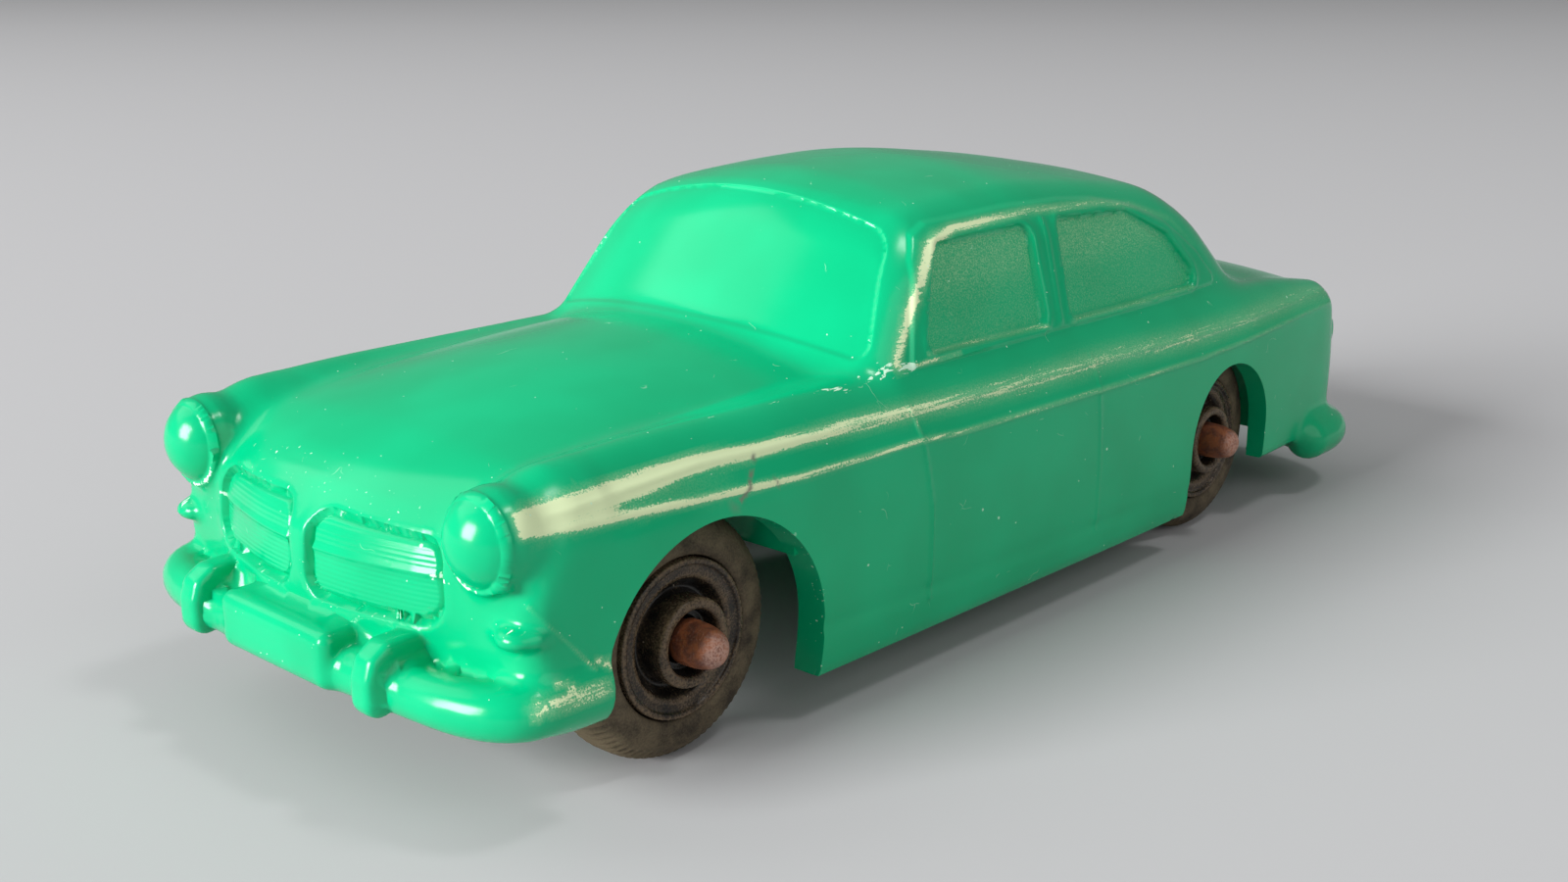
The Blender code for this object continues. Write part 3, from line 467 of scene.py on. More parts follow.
SILL_LINE = [(25.2, 6.6), (-20.5, 5.4)]
FLASH_LINE = [(46.76, 17.81, 14.05), (45.88, 18.45, 12.8), (44.56, 18.63, 11.3), (43.1, 18.95, 9.6)]
HOOD_EDGE = [(19.6, 14.9), (26, 14.7), (34, 14.1), (42, 12.6)]
PANE_CORNER = 1
GRILLE_CORNER = 1.7


def pane_distance(x, z):
    """Distance from the edge of the nearer side pane."""
    front = rounded_distance(x, z, FRONT_PANE, PANE_CORNER)
    return np.minimum(front, rounded_distance(x, z, REAR_PANE, PANE_CORNER))


def grille_distance(y, z):
    """Distance from the edge of the nearer grille opening."""
    return rounded_distance(np.abs(y), z, GRILLE, GRILLE_CORNER)


FRONT_SCREEN = (23.7, 1.9, 31.6, 2.2, 15.4, 0.33, 1.2)
REAR_SCREEN = (23.6, 1.2, 29.2, 1.6, 13.4, 0.35, 1.5)


def screen_distance(y, z, screen):
    """Distance from the edge of a screen, seen from the front or from behind."""
    low_z, sag, high_z, crown, half_width, lean, corner = screen
    s = np.abs(y)
    low = low_z - sag * (s / 15) ** 2 - z
    high = z - high_z + crown * (s / 13) ** 2
    side = s - half_width + lean * (z - 22)
    return meet(meet(low, high, corner), side, corner)


def space_distance(x, y, z, path):
    """Distance from an open line in space."""
    best = np.full(np.shape(x), 1e3)
    for start, end in zip(np.array(path[:-1]), np.array(path[1:])):
        e = end - start
        ax, ay, az = x - start[0], y - start[1], z - start[2]
        t = np.clip((ax * e[0] + ay * e[1] + az * e[2]) / (e @ e), 0, 1)
        gap = np.sqrt((ax - t * e[0]) ** 2 + (ay - t * e[1]) ** 2 + (az - t * e[2]) ** 2)
        best = np.minimum(best, gap)
    return best


# %% How far the skin stands proud
def ridge(distance, height, width):
    """A soft raised line."""
    return height * np.exp(-((distance / width) ** 2))


def cabin_relief(x, y, z):
    """Panes sunk in raised frames, in mm."""
    frame_gap = outline_distance(x, z, inset(FRAME_EDGE, 0.5)) - 0.5
    panes = pane_distance(x, z)
    beside = fade(np.abs(y), 10.5, 12)
    raised = 0.2 * fade(-frame_gap, -0.12, 0.2) + ridge(panes - 0.35, 0.12, 0.25)
    out = beside * (raised - 0.5 * fade(-panes, -0.08, 0.16))
    out += ridge(line_distance(x, z, WINDOW_POST), 0.16, 0.3) * beside
    ahead = fade(x, 4, 5.5)
    out -= 0.22 * ahead * fade(-screen_distance(y, z, FRONT_SCREEN), -0.08, 0.16)
    behind = fade(-x, 17, 19)
    return out - 0.16 * behind * fade(-screen_distance(y, z, REAR_SCREEN), -0.1, 0.25)


def lower_relief(x, y, z):
    """Door lines, trim lines and the grille openings, in mm."""
    s = np.abs(y)
    beside = fade(s, 16.3, 17)
    out = ridge(line_distance(x, z, DOOR_FRONT), 0.13, 0.16)
    out += ridge(line_distance(x, z, DOOR_REAR), 0.07, 0.16)
    out += ridge(line_distance(x, z, LOWER_TRIM), 0.2, 0.24)
    out += ridge(line_distance(x, z, SHOULDER_TRIM), 0.16, 0.22)
    out = out * beside
    out -= 0.12 * beside * ridge(line_distance(x, z, SILL_LINE), 1, 0.4)
    nose = fade(x, 40, 42)
    opening = grille_distance(y, z)
    panel = fade(-opening, 0.38, 0.58)
    bar = ridge(line_distance(s, z, GRILLE_BAR), 0.16, 0.2) * panel
    sunk = 0.58 * fade(-opening, -0.04, 0.16) - 0.3 * panel
    out += nose * (ridge(opening - 0.35, 0.12, 0.3) + bar - sunk)
    out += 0.1 * nose * fade(-s, -10.5, -8) * ridge(z - 18.0 + 0.03 * s, 1, 0.28)
    out += 0.1 * (x > 42) * ridge(space_distance(x, s, z, FLASH_LINE), 1, 0.16)
    hood = fade(x, 19, 22) * fade(-x, -43, -38) * fade(z, 17, 18)
    return out - hood * ridge(line_distance(x, s, HOOD_EDGE), 0.1, 0.22)


# %% [markdown]
# ## Lamps, bumpers and plate
#
# They are part of the same moulding, so they melt into the body with soft fillets. Each one
# is a simple form such as a ball or a thick line, and `merge` joins it to the rest.


# %% Bumpers
def bumper_path(end_x, powers, toward):
    """A bumper's centre line seen from above, bowed and wrapped round both corners."""
    path = []
    for k in range(33):
        angle = math.pi * k / 32
        across = math.copysign(abs(math.cos(angle)) ** powers[0], math.cos(angle))
        along = 8 * (math.sin(angle) ** powers[1] - 1) - REAR_BUMPER_RADIUS
        path.append((end_x + toward * along, 18.1 * across))
    return path


FRONT_BUMPER = bumper_path(FRONT_END - 0.35, (1.0, 0.32), 1)
REAR_BUMPER = bumper_path(REAR_END, (0.55, 0.55), -1)


def front_bumper_radius(y):
    """The front bumper is a little thicker at its ends; its top is level."""
    return 1.5 + 0.12 * fade(np.abs(y), 9, 16)


def bumper(x, y, z, path, height, radius, flat):
    """A round bar along the path, with a shelf that joins it to the body."""
    away = line_distance(x, y, path)
    behind = np.maximum(outline_distance(x, y, path), 0)
    bar = np.hypot(away, z - height) - radius
    shelf = np.maximum(np.abs(z - height) - flat, behind)
    return merge(bar, shelf, 0.5)


def ball(x, y, z, centre, radii):
    """A stretched ball."""
    a, b, c = ((v - m) / r for v, m, r in zip((x, y, z), centre, radii))
    size = np.sqrt(a * a + b * b + c * c) + 1e-9
    return (size - 1) * size * min(radii) / np.maximum(size, 0.6)


LAMP = (15.0, 17.35)
SIDE_LAMP_Z = 12.15
TAIL_LAMP = (-49.3, 15.5, 13.5)
TAIL_LAMP_RADII = (0.9, 1.0, 1.9)
POD_RADIUS = 2.88
LENS_RADIUS = 3.02
RIM_RADIUS = 2.74
HORN = [(47.0, 10.2), (50.6, 10.05), (51.2, 9.65), (51.45, 8.9), (51.45, 7.7)]
HORN_Y = 9.4
HORN_HALF_WIDTH = 1.03
PLATE_X = 49.4
PLATE_Z = 8.8


def headlamp(x, y, z, form):
    """A round pod with a raised rim, a domed lens and a knob of flash on the near one."""
    across, up = np.abs(y) - LAMP[0], z - LAMP[1]
    out = np.hypot(across, up)
    pod = meet(meet(out - POD_RADIUS, x - 48.05, 0.4), 41 - x, 0.4)
    form = merge(form, pod, 1.1)
    form = merge(form, np.hypot(out, x - 46.55) - LENS_RADIUS, 0.1)
    rim = np.hypot(out - RIM_RADIUS, x - 47.95) - 0.26
    form = merge(form, rim, 0.14)
    knob = ball(x, y, z, (47.7, 16.95, 15.3), (0.45, 0.5, 0.4))
    return merge(form, knob, 0.3)


def front_details(x, y, z, form):
    """The lower body's front with its lamps, bumper, overriders and plate block."""
    s = np.abs(y)
    form = headlamp(x, y, z, form)
    form = merge(form, ball(x, s, z, (46.4, 16.7, SIDE_LAMP_Z), (1.5, 1.95, 1.0)), 0.3)
    form = merge(form, ball(x, s, z, (46.7, 17.0, SIDE_LAMP_Z), (1.6, 1.45, 0.78)), 0.06)
    radius = front_bumper_radius(y)
    bar = bumper(x, y, z, FRONT_BUMPER, FRONT_BUMPER_TOP_Z - radius, radius, radius - 0.5)
    form = merge(form, bar, 0.7 + 0.3 * fade(s, 14.5, 17.5))
    gaps = (np.abs(x - PLATE_X) - 2.05, s - 4.9, np.abs(z - PLATE_Z) - 1.0)
    ahead, side, up = (np.maximum(gap, 0) for gap in gaps)
    form = merge(form, np.hypot(np.hypot(ahead, up), side) - 0.85, 0.45)
    up = line_distance(x, z, HORN)
    horn = (up**4 + np.abs(s - HORN_Y) ** 4 + 1e-9) ** (1 / 4) - HORN_HALF_WIDTH
    return merge(form, horn, 0.14)


def rear_details(x, y, z, form):
    """The lower body's back with its bumper and tail lamps."""
    bar = bumper(x, y, z, REAR_BUMPER, REAR_BUMPER_Z, REAR_BUMPER_RADIUS, 1.2)
    form = merge(form, bar, 1.4)
    return merge(form, ball(x, np.abs(y), z, TAIL_LAMP, TAIL_LAMP_RADII), 0.5)


FRONT_DETAILS_X = 36
REAR_DETAILS_X = -38
CABIN_FROM_Z = 18


def skin(x, y, z, fine):
    """The whole toy's skin, and with fine set also its raised and sunk lines."""
    form = lower_body(x, y, z)
    if fine:
        form = form - lower_relief(x, y, z)
    form = meet(form, SKIRT_LINE(x) - z, 0.3)
    ends = (x > FRONT_DETAILS_X, front_details), (x < REAR_DETAILS_X, rear_details)
    for mask, details in ends:
        form[mask] = details(x[mask], y[mask], z[mask], form[mask])
    high = z > CABIN_FROM_Z
    top = np.maximum(cabin(x[high], y[high], z[high]), SHOULDER_Z - z[high])
    if fine:
        top = top - cabin_relief(x[high], y[high], z[high])
    form[high] = merge(form[high], top, 1.2)
    return form


# %% [markdown]
# ## The body's skin
#
# We model as a potter would. Boxes and balls are pushed roughly into shape and joined, the
# voxel Remesh modifier makes one even skin of them, and then every point is moved until it
# lies on the formulas above. Smoothing between the moves keeps the mesh even.


# %% Drawing points onto a form
def cast_onto(piece, form, middle_low, middle_high, middle_z):
    """Moves each point of a box along its line from the middle onto a form."""
    points = points_of(piece)
    start = points.copy()
    start[:, 0] = np.clip(start[:, 0], middle_low, middle_high)
    start[:, 1] = 0
    start[:, 2] = middle_z
    way = points - start
    way /= np.linalg.norm(way, axis=1)[:, None]
    near, far = np.zeros(len(points)), np.full(len(points), 110.0)
    for _ in range(30):
        middle = (near + far) / 2
        outside = form(*(start + way * middle[:, None]).T) > 0
        far = np.where(outside, middle, far)
        near = np.where(outside, near, middle)
    place_points(piece, start + way * near[:, None])


def slide_onto(points, form, steps, reach=0.02, limit=0.4):
    """Moves points down a form's slope until they lie on its skin."""
    for _ in range(steps):
        here = form(*points.T)
        shifts = reach * np.eye(3)
        slope = np.stack([(form(*(points + s).T) - here) / reach for s in shifts], 1)
        move = slope * (here / np.maximum((slope**2).sum(1), 0.3))[:, None]
        size = np.linalg.norm(move, axis=1)[:, None]
        points = points - move * np.minimum(1, limit / np.maximum(size, 1e-9))
    return points


def evened(piece, points, share):
    """Moves each point part of the way to the middle of its neighbours."""
    edges = np.empty(len(piece.data.edges) * 2, int)
    piece.data.edges.foreach_get("vertices", edges)
    a, b = edges.reshape(-1, 2).T
    count = np.bincount(a, minlength=len(points)) + np.bincount(b, minlength=len(points))
    total = []
    for values in points.T:
        ahead = np.bincount(a, values[b], len(points))
        total.append(ahead + np.bincount(b, values[a], len(points)))
    return points + share * (np.stack(total, 1) / count[:, None] - points)


def gridded_box(name, low, high, cuts):
    """A box in mm, its faces cut into a grid."""
    middle = [(a + b) / 2 * MM for a, b in zip(low, high)]
    size = [(b - a) * MM for a, b in zip(low, high)]
    piece = primitive(name, bpy.ops.mesh.primitive_cube_add, size=1, location=middle, scale=size)
    if cuts:
        edit_all(piece, bpy.ops.mesh.subdivide, number_cuts=cuts)
    return piece


def rough_ball(centre, radii):
    """A ball pushed out of round, for the lump that the skin starts from."""
    return primitive(
        "ball", bpy.ops.mesh.primitive_uv_sphere_add, segments=24, ring_count=16,
        location=[c * MM for c in centre], scale=[r * MM for r in radii],
    )


def rough_bar(path, radius):
    """A round bar along points in mm, as a closed mesh."""
    curve = bpy.data.curves.new("bar", "CURVE")
    curve.dimensions = "3D"
    curve.bevel_depth = radius * MM
    curve.bevel_resolution = 3
    curve.use_fill_caps = True
    spline = curve.splines.new("POLY")
    spline.points.add(len(path) - 1)
    for point, place in zip(spline.points, path):
        point.co = (*[c * MM for c in place], 1)
    piece = bpy.data.objects.new("bar", curve)
    bpy.context.scene.collection.objects.link(piece)
    choose(piece)
    bpy.ops.object.convert(target="MESH")
    return piece


# %% The rough lump
LUMPS = {
    "lower": (
        lower_body, (REAR_END, -HALF_WIDTH, 0), (FRONT_END, HALF_WIDTH, CREST_Z),
        (TAIL_X + 9, NOSE_X - 9, WAIST_Z + 1),
    ),
    "cabin": (
        cabin, (REAR_WINDOW_X - 3, -BELT_HALF_WIDTH, SHOULDER_Z - 2),
        (SCREEN_X + 3, BELT_HALF_WIDTH, ROOF_Z), (REAR_WINDOW_X + 13, SCREEN_X - 13, BELT_Z + 2),
    ),
}


def lump(name, kind, depth, floor, cuts):
    """A box cast onto a form, so many mm under its skin and cut off level at a height."""
    form, low, high, middle = LUMPS[kind]
    piece = gridded_box(name, low, high, cuts)
    cast_onto(piece, lambda x, y, z: np.maximum(form(x, y, z) + depth, floor - z), *middle)
    return piece


VOXEL = 0.62
ROUGH_LAMPS = (
    ((44.6, *LAMP), (5.0, 2.9, 2.9)), ((46.7, 16.8, SIDE_LAMP_Z), (1.6, 1.9, 0.95)),
    (TAIL_LAMP, TAIL_LAMP_RADII),
)
lumps = [lump("lump", "lower", 0, SILL_Z, 40), lump("top", "cabin", 0, SHOULDER_Z, 28)]
for side in (-1, 1):
    for (x, y, z), radii in ROUGH_LAMPS:
        lumps.append(rough_ball((x, side * y, z), radii))
    lumps.append(rough_bar([(x, side * HORN_Y, z) for x, z in HORN], 1.05))
lumps.append(rough_bar([(x, y, 8.0) for x, y in FRONT_BUMPER], 1.6))
lumps.append(rough_bar([(x, y, REAR_BUMPER_Z) for x, y in REAR_BUMPER], REAR_BUMPER_RADIUS))
lumps.append(gridded_box("plate", (47.2, -5.6, 7.2), (52.3, 5.6, 10.6), 0))
body = join(lumps, "body_shell_moulding")
modify(body, "REMESH", mode="VOXEL", voxel_size=VOXEL * MM, adaptivity=0)
print("rough skin:", triangles_in(body), "triangles")

# %% The smooth skin
def plain_skin(x, y, z):
    return skin(x, y, z, False)


def fine_skin(x, y, z):
    return skin(x, y, z, True)


points = slide_onto(points_of(body), plain_skin, 8)
for _ in range(4):
    points = slide_onto(evened(body, points, 0.6), plain_skin, 2)
place_points(body, points)

# %% [markdown]
# ## Fine lines in the skin
#
# A line 0.3 mm wide needs a finer mesh than a smooth fender does. Only the faces near a line
# are cut in four, and near its middle in sixteen, before the points slide onto the fine form.


# %% Cut the mesh finer along the lines
def detail_distance(x, y, z):
    """Distance from the nearest fine line."""
    s = np.abs(y)
    side = (s > 16) & (z < 20.5)
    glazed = (z > 20.5) & (s > 10)
    nose = (x > 42) & (z < 18)
    lines = [
        (glazed, line_distance(x, z, WINDOW_POST)), (nose, np.abs(grille_distance(y, z) + 0.2)),
        (nose, line_distance(s, z, GRILLE_BAR)),
        (x > 46.8, np.abs(np.hypot(s - LAMP[0], z - LAMP[1]) - 2.7)),
        (x > 46.5, np.abs(np.hypot((s - 17) / 1.5, z - SIDE_LAMP_Z) - 0.9)),
        (x > 48, np.hypot(np.maximum(np.abs(s - HORN_Y) - 0.9, 0), line_distance(x, z, HORN) - 1)),
        (x > 50, np.hypot(s - 5.5, np.maximum(np.abs(z - 8.9) - 2, 0))),
        ((x > 42) & (s > 17), space_distance(x, s, z, FLASH_LINE)),
        (x > 42, np.hypot(z - 9.3, lower_body(x, y, z)) + 0.15),
        ((x > 4) & (z > 21), np.abs(screen_distance(y, z, FRONT_SCREEN))),
    ]
    for path in (DOOR_FRONT, DOOR_REAR, LOWER_TRIM, SHOULDER_TRIM):
        lines.append((side, line_distance(x, z, path)))
    for ring in (FRONT_PANE, REAR_PANE, FRAME_EDGE):
        lines.append((glazed, np.abs(rounded_distance(x, z, ring, 0.9))))
    best = np.full(np.shape(x), 1e3)
    for where, distance in lines:
        best = np.where(where, np.minimum(best, distance), best)
    return best


def refine(piece, distance):
    """Cuts in four the faces that lie near a fine line."""
    centres = np.empty(len(piece.data.polygons) * 3, np.float32)
    piece.data.polygons.foreach_get("center", centres)
    near = detail_distance(*(centres.reshape(-1, 3).astype(float) / MM).T) < distance
    choose(piece)
    bpy.ops.object.mode_set(mode="EDIT")
    bpy.ops.mesh.select_mode(type="FACE")
    bpy.ops.mesh.select_all(action="DESELECT")
    bpy.ops.object.mode_set(mode="OBJECT")
    piece.data.polygons.foreach_set("select", near)
    bpy.ops.object.mode_set(mode="EDIT")
    bpy.ops.mesh.subdivide(number_cuts=1)
    bpy.ops.object.mode_set(mode="OBJECT")


refine(body, 0.6)
refine(body, 0.34)
points = slide_onto(points_of(body), plain_skin, 3)
points = slide_onto(evened(body, points, 0.4), fine_skin, 10, limit=0.15)
place_points(body, points)
print("fine skin:", triangles_in(body), "triangles")

# %% [markdown]
# ## The hollow inside
#
# Turn the toy over and it is an open shell with a wall of 2.3 mm. The same forms, cast that
# far under the skin, make the tool that hollows it. Webs and lugs that carry the axles, and
# the wheel arches, are cut and joined with the quick manifold Boolean.

# %% Hollow and wheel arches
core = [lump("core", "lower", WALL, -3, 26), lump("core_top", "cabin", WALL, 11, 16)]
core = join(core, "core")
modify(core, "REMESH", mode="VOXEL", voxel_size=1.1 * MM, adaptivity=0)
place_points(core, evened(core, points_of(core), 0.7))
cut_with(body, core)


def drum(name, x, z, radius, low, high, sides=96):
    """A drum along Y, in mm."""
    return primitive(
        name, bpy.ops.mesh.primitive_cylinder_add,
        vertices=sides, radius=radius * MM, depth=(high - low) * MM,
        location=(x * MM, (low + high) / 2 * MM, z * MM), rotation=(math.radians(90), 0, 0),
    )


def arch_tool(x, top_z, radius, low, high):
    """A drum whose lower half is drawn down below the car."""
    piece = drum("arch", x, top_z - radius, radius, low, high)
    points = points_of(piece)
    points[points[:, 2] < top_z - radius - 0.01, 2] = -2
    place_points(piece, points)
    return piece


LUG_INNER_Y = 9.6
LUG_OUTER_Y = 11.5
LUG_RADIUS = 3.4
BORE_RADIUS = 1.5
WEB_FROM_AXLE = 9.0
WEB_BOTTOM_Z = 11.6
ROOM_RADIUS = 8.7
WHEELS = (("front", FRONT_AXLE_X, 0.75, 9.15, 16.0), ("rear", REAR_AXLE_X, 0.4, 6.3, 14.7))
for name, axle_x, setback, radius, top_z in WHEELS:
    for side in (-1, 1):
        low, high = sorted((side * LUG_OUTER_Y, side * 22))
        cut_with(body, arch_tool(axle_x - setback, top_z, radius, low, high))
        low, high = sorted((side * LUG_OUTER_Y, side * 17.2))
        cut_with(body, drum("room", axle_x, AXLE_Z, ROOM_RADIUS, low, high, 64))


# %% Webs and lugs that carry the axles
def carrier(name, axle_x, toward, top_z):
    """A cross web with two lugs, each bored for the axle."""
    web_x = axle_x - toward * WEB_FROM_AXLE
    low = (web_x - 0.8, -HALF_WIDTH, WEB_BOTTOM_Z)
    web = gridded_box(name, low, (web_x + 0.8, HALF_WIDTH, top_z), 0)
    for side in (-1, 1):
        low_y, high_y = sorted((side * LUG_INNER_Y, side * LUG_OUTER_Y))
        eye = drum("eye", axle_x, AXLE_Z, LUG_RADIUS, low_y, high_y, 64)
        points = points_of(eye)
        points[points[:, 2] > AXLE_Z + 0.01, 2] = top_z
        reach = (points[:, 2] > AXLE_Z + 1) & ((points[:, 0] - axle_x) * toward < 0)
        share = fade((axle_x - points[reach, 0]) * toward, 0, LUG_RADIUS)
        points[reach, 0] += (web_x - axle_x + toward * LUG_RADIUS) * share
        place_points(eye, points)
        cut_with(web, eye, "UNION")
    cut_with(web, drum("bore", axle_x, AXLE_Z, BORE_RADIUS, -13.8, 13.8, 48))
    cut_with(web, lump("within", "lower", WALL / 2, 0, 26), "INTERSECT")
    return web


cut_with(body, carrier("front_web", FRONT_AXLE_X, 1, CREST_Z), "UNION")
cut_with(body, carrier("rear_web", REAR_AXLE_X, -1, 17.0), "UNION")
print("hollow body:", triangles_in(body), "triangles")

SHARP_ANGLE = math.radians(50)
choose(body)
bpy.ops.object.shade_smooth_by_angle(angle=SHARP_ANGLE)
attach(body, "body")
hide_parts("body_shell")


# %% [markdown]
# ## Wheels and axles
#
# A wheel is a turned piece, so we draw its section once and carry it round. A torus
# primitive is already a ring of small loops: each loop's points are moved onto the section.
# The corners of the section are rounded first, because the toy's worn edges catch the light.
# The tyre then gets its fine cross ridges, and the rod's head is a ball drawn out.


# %% Turned pieces
def rounded_section(corners, steps=4):
    """A closed section through (radius, along, fillet) corners, each one rounded."""
    section = []
    for k, (radius, along, fillet) in enumerate(corners):
        here = Vector((radius, along))
        before = Vector(corners[k - 1][:2]) - here
        after = Vector(corners[(k + 1) % len(corners)][:2]) - here
        first = here + before.normalized() * min(fillet, before.length * 0.45)
        last = here + after.normalized() * min(fillet, after.length * 0.45)
        for i in range(steps + 1):
            t = i / steps
            section.append(tuple((1 - t) ** 2 * first + 2 * t * (1 - t) * here + t * t * last))
    return section


def smooth_outwards(piece):
    """Turns a closed piece's faces outwards and shades them smooth up to sharp edges."""
    edit_all(piece, bpy.ops.mesh.normals_make_consistent, inside=False)
    bpy.ops.object.shade_smooth_by_angle(angle=SHARP_ANGLE)


def turned_ring(name, section, steps, axle_x, side):
    """A torus whose loops follow a section, round an axle; side is 1 left and -1 right."""
    piece = primitive(
        name, bpy.ops.mesh.primitive_torus_add, major_segments=steps,
        minor_segments=len(section), major_radius=6 * MM, minor_radius=MM,
    )
    angle = np.repeat(np.arange(steps) * 2 * math.pi / steps, len(section))
    radius, along = np.tile(np.array(section), (steps, 1)).T
    across = (axle_x + radius * np.cos(angle), AXLE_Z - side * radius * np.sin(angle))
    place_points(piece, np.stack([across[0], along * side, across[1]], 1))
    smooth_outwards(piece)
    return piece, angle, radius, along


def mark(piece, name, values):
    """Stores one number per point for a material to read."""
    layer = piece.data.attributes.new(name, "FLOAT", "POINT")
    layer.data.foreach_set("value", np.asarray(values, np.float32))


HUB_SECTION = rounded_section([
    (1.95, 16.4, 0.15), (2.15, 17.62, 0.3), (2.85, 17.62, 0.32), (2.9, 15.5, 0.4),
    (3.3, 15.5, 0.4), (3.85, 16.5, 0.5), (4.6, 16.42, 0.15), (4.75, 16.66, 0.08),
    (5.1, 16.62, 0.14), (5.1, 11.9, 0.2), (1.5, 11.9, 0.1), (1.5, 16.4, 0.08),
])
TYRE_SECTION = rounded_section([
    (5.2, 16.35, 0.15), (5.65, 16.6, 0.3), (7.15, 16.35, 0.9), (7.95, 15.3, 0.5),
    (8.0, 13.2, 0.5), (7.3, 12.25, 0.8), (5.4, 12.1, 0.3), (5.2, 12.4, 0.15),
], steps=5)
HEAD_RADIUS = curve_through([
    (0, 0), (4.5, 0.66), (9, 0.98), (18, 1.24), (36, 1.41), (63, 1.44), (67.5, 1.38),
    (72, 1.2),
])
HEAD_REACH = curve_through([
    (0, 19.86), (4.5, 19.72), (9, 19.5), (18, 19.0), (36, 18.0), (63, 16.9), (67.5, 16.7),
    (72, 16.6), (90, 0),
])
RIDGES = 84
HUB_STEPS = 128
wheel_pieces = []
for end, axle_x, *_ in WHEELS:
    for side, hand in ((1, "left"), (-1, "right")):
        name = f"{end}_{hand}"
        hub, _, radius, along = turned_ring(
            f"hub_{name}_plastic", HUB_SECTION, HUB_STEPS, axle_x, side
        )
        edge = 0.9 * fade(radius, 2.0, 2.2) * fade(-radius, -3.0, -2.9) * fade(along, 17.0, 17.5)
        flange = 0.3 * fade(radius, 3.6, 4.0) * fade(along, 15.5, 16.3)
        rims = ridge(radius - 3.95, 0.6, 0.16) + ridge(radius - 4.95, 0.55, 0.12)
        mark(hub, "wear", np.clip(edge + flange + rims * fade(along, 16.2, 16.4), 0, 1))
        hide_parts(f"hub_{name}")
        tyre, angle, radius, along = turned_ring(
            f"tyre_{name}_rubber", TYRE_SECTION, RIDGES * 3, axle_x, side
        )
        tread = fade(radius, 6.9, 7.7)
        crest = 0.5 + 0.5 * np.cos(angle * RIDGES)
        drop = 0.26 * tread * (1 - crest)
        points = points_of(tyre)
        points[:, 0] -= drop * np.cos(angle)
        points[:, 2] += side * drop * np.sin(angle)
        place_points(tyre, points)
        mark(tyre, "tread", tread * crest)
        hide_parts(f"tyre_{name}")
        for piece in (hub, tyre):
            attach(piece, f"{name}_wheel")
        wheel_pieces += [hub, tyre]
    ball_add = bpy.ops.mesh.primitive_uv_sphere_add
    axle = primitive(f"{end}_axle_steel", ball_add, segments=64, ring_count=40, radius=MM)
    points = points_of(axle)
    polar = np.degrees(np.arccos(np.clip(points[:, 2], -1, 1)))
    around = np.arctan2(points[:, 1], points[:, 0])
    ring = np.minimum(polar, 180 - polar)
    radius = HEAD_RADIUS(ring)
    way = np.where(polar < 90, 1, -1)
    across = (axle_x + radius * np.cos(around), AXLE_Z + radius * np.sin(around))
    points = np.stack([across[0], way * HEAD_REACH(ring), across[1]], 1)
    place_points(axle, points)
    smooth_outwards(axle)
    mark(axle, "tip", fade(np.abs(points[:, 1]), 19.0, 19.8))
    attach(axle, f"{end}_axle")
    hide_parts(f"{end}_axle")
    wheel_pieces.append(axle)
print("wheels and axles:", sum(triangles_in(piece) for piece in wheel_pieces), "triangles")

# %% [markdown]
# ## Where the trim paint is left, with a painted sheen
#
# The raised lines were once sprayed pale silver. Play has worn most of it off, so what is
# left is a broad feathered patch on each front fender, and streaks along the trim, the window
# frames and the belt. The amount is made highest at the front and lowest at the tail: partly
# wear, and partly a painted sheen of the silver where the light falls on the front fender.
# We store this amount for each point of the skin; the material breaks it up with fine noise.


# %% Paint with painted sheen, chips with painted highlights, and ribs
def along_x(*points):
    """A strength that changes along the car."""
    return curve_through(points)


PILLAR_LINE = [
    (14.0, 21.6), (12.0, 24.4), (9.8, 27.1), (8.7, 28.3), (7.2, 29.0), (5.2, 29.4), (-3.6, 29.6),
    (-12.9, 29.2), (-17.9, 28.4), (-22.4, 26.9), (-25.5, 24.5),
]
LOW_Z = curve_through(LOWER_TRIM)
BAND_Z = curve_through(SHOULDER_TRIM)
CREST_CHIPS = [(31.7, 14.9), (27.6, 15.6), (24.5, 16.0), (18.9, 16.1), (16.8, 16.1), (12.5, 16.7)]


